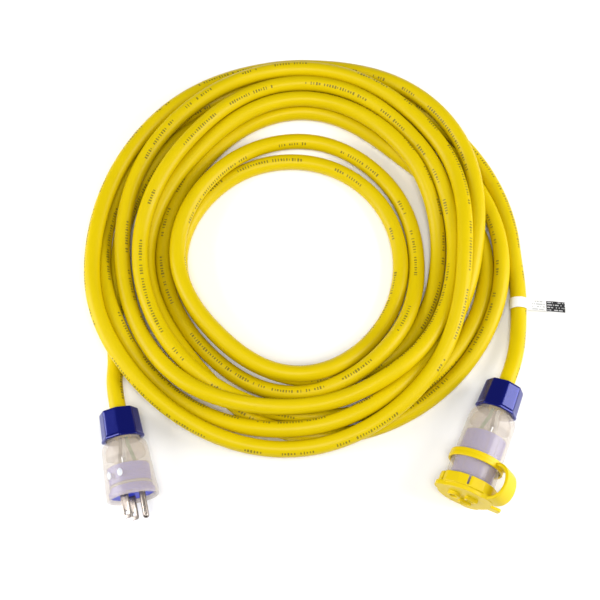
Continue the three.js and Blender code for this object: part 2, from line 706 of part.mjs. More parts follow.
function capGeometry() {
  const skirtInner = mouthOuter + GAP;
  const skirtOuter = skirtInner + CAP_SKIRT_THICKNESS;
  const skirt = cut(
    bar(skirtOuter, CONNECTOR_LENGTH - CAP_SKIRT, discBack + 1, 0, 0, CAP_SKIRT_SIDES),
    bar(skirtInner, CONNECTOR_LENGTH - CAP_SKIRT - 1, discBack, 0, 0, ROUND),
  );
  const notches = Array.from({ length: CAP_NOTCHES }, (_, i) => {
    const angle = rad(STRAP_ANGLE) + ((i + 1) / (CAP_NOTCHES + 1)) * 2 * Math.PI;
    return block(
      [skirtInner - 1, -CAP_NOTCH_WIDTH / 2, CONNECTOR_LENGTH - CAP_SKIRT - 1],
      [skirtOuter + 2, CAP_NOTCH_WIDTH / 2, discBack - 0.8],
    ).rotateZ(angle);
  });
  const disc = bar(capDiscRadius, discBack, discFront, 0, 0, ROUND);
  const tab = block(
    [capDiscRadius - 3, -TAB_WIDTH / 2, discFront - 2.4],
    [capDiscRadius + TAB_LENGTH, TAB_WIDTH / 2, discFront],
  ).rotateZ(rad(STRAP_ANGLE - 42));
  const stopperRadius = INSERT_RADIUS + INSERT_FLANGE - 0.5;
  const stopper = bar(stopperRadius, connectorFace + GAP, discBack + 1, 0, 0, HIDDEN_ROUND);

  // What follows the contacts' pattern turns with it.
  const pattern = [];
  const hollows = [];
  const lobes = [[lobeRing, 0], bladeLobe, [bladeLobe[0], -bladeLobe[1]]];
  for (const [x, y] of lobes) pattern.push(bar(CAP_LOBE_RADIUS, discBack, discFront, x, y, HIDDEN_ROUND));
  const bossFront = discFront + CAP_BOSS_HEIGHT;
  pattern.push(bar(GROUND_RADIUS + CAP_BOSS_WALL + 1, discFront - 1, bossFront, groundAt, 0));
  hollows.push(bar(GROUND_RADIUS + 0.6, discFront - 2, bossFront + 1, groundAt, 0));
  for (const side of [-1, 1]) {
    const y = (side * BLADE_SPACING) / 2;
    const halfWidth = BLADE_WIDTH / 2 + CAP_BOSS_WALL;
    const halfDepth = BLADE_THICKNESS / 2 + CAP_BOSS_WALL;
    pattern.push(
      block(
        [BLADE_LINE - halfWidth, y - halfDepth, discFront - 1],
        [BLADE_LINE + halfWidth, y + halfDepth, bossFront],
      ),
    );
    hollows.push(
      block(
        [BLADE_LINE - BLADE_WIDTH / 2, y - BLADE_THICKNESS / 2 - 0.3, discFront - 2],
        [BLADE_LINE + BLADE_WIDTH / 2, y + BLADE_THICKNESS / 2 + 0.3, bossFront + 1],
      ),
    );
  }
  pattern.push(...contactHoles(connectorFace - CAP_PEG_DEPTH, connectorFace + 1, 0));
  for (const geometry of [...pattern, ...hollows]) geometry.rotateZ(rad(CONNECTOR_ROLL));
  return cut(join(skirt, disc, stopper, tab, ...pattern), ...notches, ...hollows);
}

// The strap's middle line leaves the band square to the connector's axis, loops forward and comes back
// square to the axis at the cap's disc.
function strapGeometry() {
  const reach = capEdge + STRAP_REACH - STRAP_THICKNESS / 2;
  const start = bandOuter + GAP;
  const end = capEdge + GAP;
  const middle = new THREE.SplineCurve([
    new THREE.Vector2(start, bandMiddle),
    new THREE.Vector2(start + 4, bandMiddle + 0.2),
    new THREE.Vector2(reach - 1.6, bandMiddle + 5.5),
    new THREE.Vector2(reach, (bandMiddle + discMiddle) / 2),
    new THREE.Vector2(reach - 1.4, discMiddle - 5),
    new THREE.Vector2(end + 3.4, discMiddle - 0.1),
    new THREE.Vector2(end, discMiddle),
  ]);
  const steps = 18;
  const sides = [[], []];
  for (let i = 0; i <= steps; i++) {
    const point = middle.getPoint(i / steps);
    const along = middle.getTangent(i / steps);
    if (i === 0) along.set(1, 0);
    if (i === steps) along.set(-1, 0);
    const across = new THREE.Vector2(-along.y, along.x).multiplyScalar(STRAP_THICKNESS / 2);
    sides[0].push([point.x + across.x, point.y + across.y]);
    sides[1].push([point.x - across.x, point.y - across.y]);
  }
  return radialPlate([...sides[0], ...sides[1].reverse()], STRAP_WIDTH, rad(STRAP_ANGLE));
}

function addClosure(group) {
  piece(group, "closure_cap", capGeometry(), CAP_RUBBER);
  piece(group, "strap_band", ring(bandInner, bandOuter, bandBack, bandBack + BAND_WIDTH), CAP_RUBBER);
  piece(group, "cap_strap", strapGeometry(), CAP_RUBBER);
}

// ------------------------------------------------------------------------------------ placing the fittings

// A fitting's own frame: +Z out of its front, +X to the right of someone facing it and +Y up.
function fittingGroup([x, y], heading, tilt) {
  const front = new THREE.Vector3(
    Math.sin(rad(heading)) * Math.cos(rad(tilt)),
    -Math.cos(rad(heading)) * Math.cos(rad(tilt)),
    Math.sin(rad(tilt)),
  );
  const right = new THREE.Vector3(Math.cos(rad(heading)), Math.sin(rad(heading)), 0);
  const up = new THREE.Vector3().crossVectors(front, right);
  const group = new THREE.Group();
  group.quaternion.setFromRotationMatrix(new THREE.Matrix4().makeBasis(right, up, front));
  group.position.set(x, y, 0);
  return group;
}

// Lowers or raises a fitting until its lowest point is on the floor.
function restOnFloor(group) {
  group.updateMatrixWorld(true);
  group.position.z -= new THREE.Box3().setFromObject(group, true).min.z;
  group.updateMatrixWorld(true);
}

// ---------------------------------------------------------------------------------------------- the cord

function coilOutline(inner, outer, height) {
  return [
    [inner + COIL_CORNER * 0.7, 0],
    [outer - COIL_CORNER * 0.7, 0],
    [outer, COIL_CORNER],
    [outer, height - COIL_CORNER],
    [outer - COIL_CORNER, height],
    [inner + COIL_CORNER, height],
    [inner, height - COIL_CORNER],
    [inner, COIL_CORNER],
  ];
}

// A lead's points: inside the grommet, straight out of the nut, then the chosen route.
function leadPoints(fitting, route) {
  const alongAxis = (distance) => fitting.localToWorld(new THREE.Vector3(0, 0, distance));
  return [
    alongAxis(jacketEnd),
    alongAxis(NUT_LENGTH / 2),
    alongAxis(0),
    alongAxis(-LEAD_STRAIGHT / 2),
    alongAxis(-LEAD_STRAIGHT),
    ...route.map((point) => new THREE.Vector3(...point)),
  ];
}

function tagGeometry(points, at) {
  const centre = points[at];
  const along = new THREE.Vector3().subVectors(points[at + 1], points[at - 1]).normalize();
  const inner = cordRadius + GAP;
  const outer = inner + TAG_THICKNESS;
  const half = TAG_WIDTH / 2;
  const wrap = ring(inner, outer, -half, half, HIDDEN_ROUND);
  const flag = block(
    [inner + TAG_THICKNESS / 2, -TAG_THICKNESS / 2, -half],
    [inner + TAG_LENGTH, TAG_THICKNESS / 2, half],
  );
  const across = new THREE.Vector3(0, 0, 1).cross(along).negate().normalize();
  const up = new THREE.Vector3().crossVectors(along, across);
  const basis = new THREE.Matrix4().makeBasis(across, up, along).setPosition(centre);
  return join(wrap, flag).applyMatrix4(basis);
}

const plug = fittingGroup(PLUG_AT, PLUG_HEADING, PLUG_TILT);
addPlug(plug);
restOnFloor(plug);

const connector = fittingGroup(CONNECTOR_AT, CONNECTOR_HEADING, CONNECTOR_TILT);
addConnector(connector);
restOnFloor(connector);

const cord = new THREE.Group();
const outerOutline = coilOutline(COIL_INNER_RADIUS, COIL_OUTER_RADIUS, COIL_HEIGHT);
piece(cord, "outer_coil", turned(outerOutline, COIL_FACETS), JACKET);
const innerOuterRadius = COIL_INNER_RADIUS - INNER_COIL_GAP;
const innerInnerRadius = innerOuterRadius - INNER_COIL_WIDTH;
const innerOutline = coilOutline(innerInnerRadius, innerOuterRadius, INNER_COIL_HEIGHT);
piece(cord, "inner_coil", turned(innerOutline, COIL_FACETS).translate(...INNER_COIL_CENTRE, 0), JACKET);

const plugRoute = leadPoints(plug, PLUG_LEAD);
piece(cord, "plug_lead", pipe(plugRoute, cordRadius, CORD_SIDES, 8), JACKET);
const connectorRoute = leadPoints(connector, CONNECTOR_LEAD);
piece(cord, "connector_lead", pipe(connectorRoute, cordRadius, CORD_SIDES, 14), JACKET);
const tagAt = connectorRoute.length - CONNECTOR_LEAD.length + TAG_POINT;
piece(cord, "cord_tag", tagGeometry(connectorRoute, tagAt), TAG_VINYL);

// The whole object, moved so that the middle of the two fittings' box is over the origin.
const shorePowerCord = new THREE.Group();
const fittings = new THREE.Box3().setFromObject(plug, true).expandByObject(connector, true);
const middle = fittings.getCenter(new THREE.Vector3());
shorePowerCord.add(plug, connector, cord);
shorePowerCord.position.set(-middle.x, -middle.y, 0);

export default shorePowerCord;
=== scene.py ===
import math

import bmesh
import bpy
import numpy as np
from mathutils import Matrix, Vector


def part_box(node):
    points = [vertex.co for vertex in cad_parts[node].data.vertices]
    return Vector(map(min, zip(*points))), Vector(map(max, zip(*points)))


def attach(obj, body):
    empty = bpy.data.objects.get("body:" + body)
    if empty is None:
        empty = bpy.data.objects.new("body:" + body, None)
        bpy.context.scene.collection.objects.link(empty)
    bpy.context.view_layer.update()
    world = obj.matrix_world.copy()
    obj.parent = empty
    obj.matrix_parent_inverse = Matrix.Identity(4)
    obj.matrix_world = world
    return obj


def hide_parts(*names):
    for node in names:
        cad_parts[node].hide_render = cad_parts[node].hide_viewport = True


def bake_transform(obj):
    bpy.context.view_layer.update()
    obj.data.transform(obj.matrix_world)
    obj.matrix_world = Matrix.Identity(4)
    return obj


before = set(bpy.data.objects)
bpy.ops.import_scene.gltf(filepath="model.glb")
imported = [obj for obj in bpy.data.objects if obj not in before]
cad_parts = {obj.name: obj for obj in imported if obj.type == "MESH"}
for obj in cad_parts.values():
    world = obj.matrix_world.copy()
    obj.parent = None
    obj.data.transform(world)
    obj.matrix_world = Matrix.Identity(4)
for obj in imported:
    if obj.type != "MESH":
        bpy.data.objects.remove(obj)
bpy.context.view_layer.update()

# ---- The floor, the light and the view ---------------------------------------------------------------
# The cord set lies on a white studio table. Two large soft boxes stand left and right of it and a third
# hangs over it, and the viewer looks down on it from the side that the fittings lie on.

coil_low, coil_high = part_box("outer_coil")
coil_centre = Vector(((coil_low.x + coil_high.x) / 2, (coil_low.y + coil_high.y) / 2, 0))

VIEW_ELEVATION = math.radians(71.5)
VIEW_DISTANCE = 1.1
VIEW_LENS = 81.5
VIEW_BELOW_CENTRE = math.radians(1.6)  # the view is aimed this much nearer than the coil's middle

scene = bpy.context.scene
scene.view_settings.view_transform = "Standard"
toward_viewer = Vector((0, -math.cos(VIEW_ELEVATION), math.sin(VIEW_ELEVATION)))
camera_data = bpy.data.cameras.new("camera")
camera_data.lens = VIEW_LENS
camera_data.clip_start = 0.05
camera = bpy.data.objects.new("camera", camera_data)
scene.collection.objects.link(camera)
camera.location = coil_centre + VIEW_DISTANCE * toward_viewer
camera.rotation_euler = (math.pi / 2 - VIEW_ELEVATION - VIEW_BELOW_CENTRE, 0, 0)
scene.camera = camera

floor_mesh = bpy.data.meshes.new("floor")
floor_mesh.from_pydata([(-6, -6, 0), (6, -6, 0), (6, 6, 0), (-6, 6, 0)], [], [(0, 1, 2, 3)])
floor = bpy.data.objects.new("floor", floor_mesh)
floor.location.z = -0.0002
scene.collection.objects.link(floor)


def new_material(name):
    """A material, with its node tree and its shader."""
    material = bpy.data.materials.new(name)
    material.use_nodes = True
    tree = material.node_tree
    return material, tree, tree.nodes["Principled BSDF"]


floor_paint, _, table = new_material("white_table")
table.inputs["Base Color"].default_value = (0.97, 0.97, 0.97, 1)
table.inputs["Roughness"].default_value = 0.8
floor_mesh.materials.append(floor_paint)


def add_soft_box(name, offset, size, power):
    lamp = bpy.data.lights.new(name, "AREA")
    lamp.shape = "RECTANGLE"
    lamp.size, lamp.size_y = size
    lamp.energy = power
    box = bpy.data.objects.new(name, lamp)
    scene.collection.objects.link(box)
    box.location = coil_centre + Vector(offset)
    box.rotation_euler = (coil_centre - box.location).to_track_quat("-Z", "Y").to_euler()


add_soft_box("left_soft_box", (-1.25, -0.15, 0.55), (0.7, 1.1), 18)
add_soft_box("right_soft_box", (1.25, -0.15, 0.6), (0.7, 1.1), 20)
add_soft_box("overhead_soft_box", (0, -0.5, 1.8), (0.9, 0.7), 19)

world = bpy.data.worlds.new("studio")
world.use_nodes = True
world.node_tree.nodes["Background"].inputs["Color"].default_value = (1, 1, 1, 1)
world.node_tree.nodes["Background"].inputs["Strength"].default_value = 0.16
scene.world = world

# ---- The cord ----------------------------------------------------------------------------------------
# Heavy-duty round cord: three rubber-insulated copper conductors under one extruded yellow thermoplastic
# jacket, printed along one side. It lies in eight and a half turns, wound by hand: six or seven stacked
# turns outside and two loose ones inside, with a short lead to the plug and a longer one to the connector.

CORD_DIAMETER = 0.0127
CORD_RADIUS = CORD_DIAMETER / 2
LAYER = 0.866 * CORD_DIAMETER  # from one layer of turns to the one that nests on it

# Where each fitting's nut starts, and the way that the fitting points, as the frame has them.
JACKET_END = 0.0209  # how far into the fitting the jacket reaches
NUT_MIDDLE = 0.0115
PLUG_BACK = Vector((-0.148902, 0.028756, 0.016174))
PLUG_FRONT = Vector((0.207588, -0.976622, 0.055822))
CONNECTOR_BACK = Vector((0.150098, 0.048756, 0.016070))
CONNECTOR_FRONT = Vector((-0.381108, -0.920077, 0.090633))
LEAD_STRAIGHT = 0.014

# The leads' points, about the coil's middle, as the frame's own leads have them.
PLUG_LEAD = [
    (-0.1440, -0.1065, 0.0144),
    (-0.1446, -0.1015, 0.0136),
]
CONNECTOR_LEAD = [
    (0.1676, -0.0845, 0.0131),
    (0.1706, -0.0725, 0.0112),
    (0.1730, -0.0540, 0.0086),
    (0.1738, -0.0380, 0.0072),
    (0.1736, -0.0220, 0.0066),
]

# Each turn's lay at eight places, clockwise from the left: millimetres from the coil's middle, and layer.
# The first turn comes from the plug and the last one leaves for the connector.
TURNS = [
    [(146, 0), (145, 0), (143.5, 0), (152, 0), (161.8, 0.9), (153, 0), (143, 0), (118.5, 0.5)],
    [(121.5, 0.6), (121.5, 1.1), (137, 1), (124.4, 1.1), (111.4, 0.1), (108.5, 0), (98, 0), (91.5, 0)],
    [(97, 0), (91, 0), (84.5, 0), (81, 0), (81, 0), (87, 0), (98, 1.2), (91.5, 1.2)],
    [(97.5, 1.2), (98, 1), (103, 0), (97, 0), (93.8, 0), (101.4, 1), (111.5, 0.1), (107.5, 0)],
    [(111.5, 0), (117.4, 0), (130, 0), (122, 0), (149.6, 0), (141, 0), (129, 0), (126, 1.5)],
    [(127, 1.7), (130.3, 1.9), (150.2, 1), (136.5, 0.9), (124.5, 1), (126, 1.2), (125.3, 1.2), (138.5, 1.3)],
    [(142, 1.1), (153.5, 1.4), (163.4, 1), (149.5, 1.2), (129, 2), (138.8, 1.2), (156, 1.1), (160.8, 1.5)],
    [(162, 1.7), (165.5, 1), (169.8, 0.1), (166.6, 1.2), (138.9, 0.9), (129.3, 0.1), (140.8, 1), (151, 0.4)],
    [(158.7, 0), (158, 0), (156.8, 0), (166, 0), (171.5, 0)],
]
PLUG_APPROACH = [(-31, 169, 0.3), (-22, 158, 0), (-11, 149.5, 0)]  # degrees, millimetres, layer
STATION_STEP = 45
COIL_POINT_STEP = 9  # degrees

STEP = 0.005  # between neighbouring points of the route
PASSES = 360
BEND_REACH = 0.028  # how far along the cord a push spreads, because the cord is stiff
SAG = 0.00004  # how far a point sinks in one pass
HOLD = 0.015  # how much of its shift friction takes back in one pass


def coil_point(degrees, millimetres, layer):
    """A point of a turn, from its angle clockwise from the left, its radius and its layer."""
    angle = math.radians(degrees)
    radius = millimetres / 1000
    height = CORD_RADIUS + layer * LAYER
    return coil_centre + Vector((-radius * math.cos(angle), radius * math.sin(angle), height))


def rounded_route(points, step):
    """Points at even steps along a centripetal Catmull-Rom curve through the given ones."""
    points = np.array(points, float)
    points = np.vstack([2 * points[0] - points[1], points, 2 * points[-1] - points[-2]])
    dense = []
    for a, b, c, d in zip(points, points[1:], points[2:], points[3:]):
        t1 = np.linalg.norm(b - a) ** 0.5
        t2 = t1 + np.linalg.norm(c - b) ** 0.5
        t3 = t2 + np.linalg.norm(d - c) ** 0.5
        for t in np.linspace(t1, t2, 40, endpoint=False):
            ab = (a * (t1 - t) + b * t) / t1
            bc = (b * (t2 - t) + c * (t - t1)) / (t2 - t1)
            cd = (c * (t3 - t) + d * (t - t2)) / (t3 - t2)
            abc = (ab * (t2 - t) + bc * t) / t2
            bcd = (bc * (t3 - t) + cd * (t - t1)) / (t3 - t1)
            dense.append((abc * (t2 - t) + bcd * (t - t1)) / (t2 - t1))
    dense.append(points[-2])
    return even_steps(np.array(dense), step)


def even_steps(line, step):
    """The same line with its points an even distance apart."""
    along = np.concatenate([[0], np.cumsum(np.linalg.norm(np.diff(line, axis=0), axis=1))])
    count = int(round(along[-1] / step)) + 1
    places = np.linspace(0, along[-1], count)
    return np.stack([np.interp(places, along, line[:, k]) for k in range(3)], axis=1)


def planned_route():
    route = [PLUG_BACK + distance * PLUG_FRONT for distance in (JACKET_END, NUT_MIDDLE, 0)]
    route += [PLUG_BACK - distance * PLUG_FRONT for distance in (LEAD_STRAIGHT / 2, LEAD_STRAIGHT)]
    route += [coil_centre + Vector(point) for point in PLUG_LEAD]
    stations = PLUG_APPROACH + [
        (360 * turn + STATION_STEP * station, millimetres, layer)
        for turn, row in enumerate(TURNS)
        for station, (millimetres, layer) in enumerate(row)
    ]
    route += [coil_point(*place) for place in rounded_route(stations, COIL_POINT_STEP)]
    route += [coil_centre + Vector(point) for point in reversed(CONNECTOR_LEAD)]
    route += [CONNECTOR_BACK - distance * CONNECTOR_FRONT for distance in (LEAD_STRAIGHT, LEAD_STRAIGHT / 2)]
    route += [CONNECTOR_BACK + distance * CONNECTOR_FRONT for distance in (0, NUT_MIDDLE, JACKET_END)]
    return rounded_route(route, STEP)


def close_pairs(route, reach):
    """Each point with each stretch of the cord near it that isn't its own."""
    apart = int(4 * CORD_DIAMETER / STEP)
    pairs = []
    for start in range(0, len(route), 200):
        block = route[start:start + 200]
        distance = np.linalg.norm(block[:, None, :] - route[None, :-1, :], axis=2)
        points, others = np.nonzero(distance < reach)
        points = points + start
        far = np.abs(points - others) > apart
        pairs.append(np.stack([points[far], others[far]]))
    return np.concatenate(pairs, axis=1)


def spread_along(shift, reach):
    """Spreads each point's shift over its neighbours, as a stiff cord does."""
    half = int(3 * reach / STEP)
    weight = np.exp(-0.5 * (np.arange(-half, half + 1) * STEP / reach) ** 2)
    weight /= weight.sum()
    return np.stack([np.convolve(shift[:, k], weight, mode="same") for k in range(3)], axis=1)


def settle(plan):
    """Lays the planned route down as a real cord lies: its turns push each other apart, rest on the floor
    and on each other, and bend smoothly. Where two turns cross, the one planned higher, or else the one
    laid later, goes over the other in a long low hump."""
    route = plan.copy()
    from_end = np.minimum(np.arange(len(route)), np.arange(len(route))[::-1]) * STEP
    free = ((from_end - JACKET_END - LEAD_STRAIGHT) / (5 * CORD_DIAMETER)).clip(0, 1)[:, None]
    free = free ** 2 * (3 - 2 * free)
    contact = 1.005 * CORD_DIAMETER
    for turn in range(PASSES):
        if turn % 12 == 0:
            points, others = close_pairs(route, 2 * CORD_DIAMETER)
            heading = np.gradient(route[:, :2], axis=0)
            heading /= np.linalg.norm(heading, axis=1)[:, None]
            one, two = heading[points], heading[others]
            sine = np.abs(one[:, 0] * two[:, 1] - one[:, 1] * two[:, 0])
            crossing = ((sine - 0.07) / 0.13).clip(0, 1)
            higher = plan[points, 2] - plan[others, 2]
            over = np.where(np.abs(higher) > 0.002, np.sign(higher), np.sign(points - others))
        shift = route - plan
        shift[:, 2] -= SAG
        shift = 0.8 * shift + 0.2 * spread_along(shift, 0.012)
        route = plan + shift * (1 - HOLD)
        for _ in range(3):
            first, along = route[others], route[others + 1] - route[others]
            share = ((route[points] - first) * along).sum(1) / (along ** 2).sum(1)
            share = share.clip(0, 1)
            apart = route[points] - first - share[:, None] * along
            distance = np.linalg.norm(apart, axis=1).clip(1e-6)
            aside = np.linalg.norm(apart[:, :2], axis=1)
            push = (0.5 * (contact / distance - 1)).clip(0)[:, None] * apart
            needed = np.sqrt((contact ** 2 - aside ** 2).clip(0))
            lift = np.zeros_like(push)
            lift[:, 2] = 0.5 * over * (needed - over * apart[:, 2]).clip(0) * (aside < contact)
            push = (1 - crossing)[:, None] * push + crossing[:, None] * lift
            near = np.abs(push).sum(1) > 0
            push, shares = push[near], share[near][:, None]
            total = np.zeros_like(route)
            count = np.zeros(len(route))
            np.add.at(total, points[near], push)
            np.add.at(total, others[near], -push * (1 - shares))
            np.add.at(total, others[near] + 1, -push * shares)
            np.add.at(count, points[near], 0.5)
            np.add.at(count, others[near], 0.5 * (1 - shares[:, 0]))
            np.add.at(count, others[near] + 1, 0.5 * shares[:, 0])
            total /= np.maximum(count, 1)[:, None]
            route += free * spread_along(total, BEND_REACH)
            route[:, 2] = np.maximum(route[:, 2], CORD_RADIUS)
    return route


def add_node(tree, kind, inputs=(), **settings):
    """Adds a shader node. Each of its inputs is given a value, or another node's output to follow."""
    made = tree.nodes.new(kind)
    for key, value in settings.items():
        setattr(made, key, value)
    for key, value in dict(inputs).items():
        if isinstance(value, bpy.types.NodeSocket):
            tree.links.new(value, made.inputs[key])
        else:
            made.inputs[key].default_value = value
    return made


def maths(tree, operation, *values):
    return add_node(tree, "ShaderNodeMath", dict(enumerate(values)), operation=operation).outputs[0]


def noise(tree, place, scale, detail):
    values = {"Vector": place, "Scale": scale, "Detail": detail}
    return add_node(tree, "ShaderNodeTexNoise", values).outputs[0]


def random_value(tree, seed):
    """A number from 0 to 1 that belongs to a seed."""
    return add_node(tree, "ShaderNodeTexWhiteNoise", {"W": seed}, noise_dimensions="1D").outputs["Value"]


def mixed(tree, share, one, other):
    """A colour between two, by a share from 0 to 1."""
    values = {0: share, 6: one, 7: other}
    return add_node(tree, "ShaderNodeMix", values, data_type="RGBA").outputs[2]


def skin_group(name, inputs):
    """A node group with the named inputs, which gives a colour, a roughness and a height for a bump."""
    group = bpy.data.node_groups.new(name, "ShaderNodeTree")
    for socket, value in inputs.items():
        kind = "NodeSocketColor" if isinstance(value, tuple) else "NodeSocketFloat"
        made = group.interface.new_socket(socket, in_out="INPUT", socket_type=kind)
        made.default_value = value
    for socket, kind in (("Colour", "Color"), ("Roughness", "Float"), ("Height", "Float")):
        group.interface.new_socket(socket, in_out="OUTPUT", socket_type=f"NodeSocket{kind}")
    return group, group.nodes.new("NodeGroupInput").outputs


def give(group, colour, roughness, height):
    """Sends a skin group's three results out of it."""
    result = group.nodes.new("NodeGroupOutput").inputs
    for socket, value in (("Colour", colour), ("Roughness", roughness), ("Height", height)):
        group.links.new(value, result[socket])
    return group


def moulded_skin_group():
    """The skin of extruded and moulded plastic or rubber: cloudy colour, patchy gloss and a fine grain."""
    inputs = {"Colour": (0.5, 0.5, 0.5, 1), "Clouding": 0.1, "Roughness": 0.5, "Patchiness": 0.1}
    inputs["Grain"] = 1500.0
    group, given = skin_group("moulded_skin", inputs)
    place = group.nodes.new("ShaderNodeTexCoord").outputs["Object"]
    clouds = noise(group, place, 45.0, 4.0)
    patches = noise(group, place, 190.0, 3.0)
    grain = noise(group, place, given["Grain"], 2.0)
    dark = maths(group, "MULTIPLY_ADD", maths(group, "SUBTRACT", clouds, 0.5), given["Clouding"], 1.0)
    shade = add_node(group, "ShaderNodeVectorMath", {0: given["Colour"], "Scale": dark}, operation="SCALE")
    gloss = maths(group, "MULTIPLY", maths(group, "SUBTRACT", patches, 0.5), given["Patchiness"])
    return give(group, shade.outputs[0], maths(group, "ADD", given["Roughness"], gloss), grain)


moulded_skin = moulded_skin_group()


def skinned(name, group, values, relief):
    """A material whose colour, gloss and grain come from a skin group with these inputs."""
    material, tree, shader = new_material(name)
    skin = add_node(tree, "ShaderNodeGroup", node_tree=group)
    for socket, value in values.items():
        skin.inputs[socket].default_value = value
    bump = add_node(tree, "ShaderNodeBump", {"Height": skin.outputs["Height"], "Distance": relief})
    tree.links.new(skin.outputs["Colour"], shader.inputs["Base Color"])
    tree.links.new(skin.outputs["Roughness"], shader.inputs["Roughness"])
    tree.links.new(bump.outputs[0], shader.inputs["Normal"])
    return material, shader


def moulded_finish(
    name, colour, roughness, clouding=0.12, patchiness=0.15, grain=1500, relief=0.00002, **sockets
):
    """A material with the moulded skin. The further sockets are the shader's own."""
    values = {"Colour": (*colour, 1), "Clouding": clouding, "Roughness": roughness}
    values.update({"Patchiness": patchiness, "Grain": grain})
    material, shader = skinned(name, moulded_skin, values, relief)
    for socket, value in sockets.items():
        shader.inputs[socket.replace("_", " ")].default_value = value
    return material


def add_piece(name, vertices, faces, material):
    mesh = bpy.data.meshes.new(name)
    mesh.from_pydata([tuple(v) for v in vertices], [], faces)
    mesh.materials.append(material)
    mesh.polygons.foreach_set("use_smooth", [True] * len(mesh.polygons))
    mesh.update()
    made = bpy.data.objects.new(name, mesh)
    scene.collection.objects.link(made)
    return made


def jacket_finish():
    """Yellow jacket with a line of small dark marks, which spell nothing, wandering along the cord."""
    material = moulded_finish(
        "yellow_jacket", (0.62, 0.46, 0.0003), 0.36, grain=1100, relief=0.00004, Specular_IOR_Level=0.16,
    )
    tree = material.node_tree
    shader = tree.nodes["Principled BSDF"]
    skin = next(made for made in tree.nodes if made.type == "GROUP")
    bump = next(made for made in tree.nodes if made.type == "BUMP")
    place = add_node(tree, "ShaderNodeSeparateXYZ", {0: tree.nodes.new("ShaderNodeUVMap").outputs[0]})
    along, around = place.outputs[0], place.outputs[1]

    # The line's middle swings from side to side of the cord's top.
    slow = maths(tree, "SINE", maths(tree, "MULTIPLY_ADD", along, 3.1, 0.7))
    quick = maths(tree, "SINE", maths(tree, "MULTIPLY_ADD", along, 8.3, 1.9))
    middle = maths(tree, "MULTIPLY_ADD", slow, 0.17, maths(tree, "MULTIPLY_ADD", quick, 0.05, 0.5))
    aside = maths(tree, "ABSOLUTE", maths(tree, "SUBTRACT", around, middle))

    cell = maths(tree, "MULTIPLY", along, 1 / PRINT_PITCH)
    number = maths(tree, "FLOOR", cell)
    within = maths(tree, "FRACT", cell)
    random = add_node(tree, "ShaderNodeTexWhiteNoise", {"W": number}, noise_dimensions="1D")
    split = add_node(tree, "ShaderNodeSeparateColor", {0: random.outputs["Color"]})
    word = maths(tree, "FLOOR", maths(tree, "MULTIPLY", number, 1 / PRINT_WORD))
    shown = random_value(tree, word)
    width = maths(tree, "MULTIPLY_ADD", split.outputs[0], 0.35, 0.3)
    height = maths(tree, "MULTIPLY_ADD", split.outputs[1], 0.45 * PRINT_HALF, 0.55 * PRINT_HALF)
    mark = maths(tree, "MULTIPLY", maths(tree, "LESS_THAN", within, width), PRINT_DENSITY)
    for limit in (
        maths(tree, "LESS_THAN", aside, height),
        maths(tree, "GREATER_THAN", shown, PRINT_WORDS_LEFT_OUT),
        maths(tree, "GREATER_THAN", split.outputs[2], PRINT_MARKS_LEFT_OUT),
    ):
        mark = maths(tree, "MULTIPLY", mark, limit)
    printed = mixed(tree, mark, skin.outputs["Colour"], PRINT_COLOUR)
    tree.links.new(printed, shader.inputs["Base Color"])

    # The three conductors inside are twisted together, which shows as a faint spiral swell.
    spiral = maths(tree, "MULTIPLY", around, 6 * math.pi)
    spiral = maths(tree, "MULTIPLY_ADD", along, 2 * math.pi / LAY_LENGTH, spiral)
    swell = maths(tree, "MULTIPLY_ADD", maths(tree, "SINE", spiral), 2.5, skin.outputs["Height"])
    tree.links.new(swell, bump.inputs["Height"])
    return material


PRINT_PITCH = 0.0023  # from one printed mark to the next
PRINT_WORD = 6  # marks in a group
PRINT_HALF = 0.036  # half the marks' height, as a share of the way round the cord
PRINT_DENSITY = 0.72
PRINT_WORDS_LEFT_OUT = 0.34  # as a share of all
PRINT_MARKS_LEFT_OUT = 0.12
PRINT_COLOUR = (0.07, 0.06, 0.02, 1)
LAY_LENGTH = 0.11  # of one twist of the conductors
CORD_SIDES = 28


def tube(name, route, radius, sides, material):
    """A closed round tube along a route. Its UV holds metres along and turns around, a half being on top."""
    heading = np.gradient(route, axis=0)
    heading /= np.linalg.norm(heading, axis=1)[:, None]
    side = np.cross(heading, (0, 0, 1))
    side /= np.linalg.norm(side, axis=1)[:, None]
    upward = np.cross(side, heading)
    turns = np.arange(sides) / sides
    angle = 2 * math.pi * (turns - 0.5)
    ring = np.cos(angle)[None, :, None] * upward[:, None] + np.sin(angle)[None, :, None] * side[:, None]
    vertices = (route[:, None] + radius * ring).reshape(-1, 3)
    faces = []
    for row in range(len(route) - 1):
        for column in range(sides):
            following = (column + 1) % sides
            here = row * sides
            there = here + sides
            faces.append((here + column, here + following, there + following, there + column))
    count = len(vertices)
    faces.append(tuple(range(sides - 1, -1, -1)))
    faces.append(tuple(range(count - sides, count)))
    made = add_piece(name, vertices, faces, material)
    along = np.concatenate([[0], np.cumsum(np.linalg.norm(np.diff(route, axis=0), axis=1))])
    layer = made.data.uv_layers.new(name="along_and_around")
    for polygon in made.data.polygons:
        last = len(polygon.vertices) == 4 and max(v % sides for v in polygon.vertices) == sides - 1
        for loop in polygon.loop_indices:
            row, column = divmod(made.data.loops[loop].vertex_index, sides)
            whole = 1 if last and column == 0 else 0
            layer.data[loop].uv = (along[row], turns[column] + whole)
    return made


cord_route = even_steps(settle(planned_route()), STEP)
cord = tube("power_cord", cord_route, CORD_RADIUS, CORD_SIDES, jacket_finish())
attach(cord, "cord_set")
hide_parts("outer_coil", "inner_coil", "plug_lead", "connector_lead")

# ---- The tag on the connector's lead -----------------------------------------------------------------
# A strip of white vinyl, wrapped once round the cord and stuck to itself so that its end stands out as a
# flag. Its printing is grey lines and a black block with white dashes.

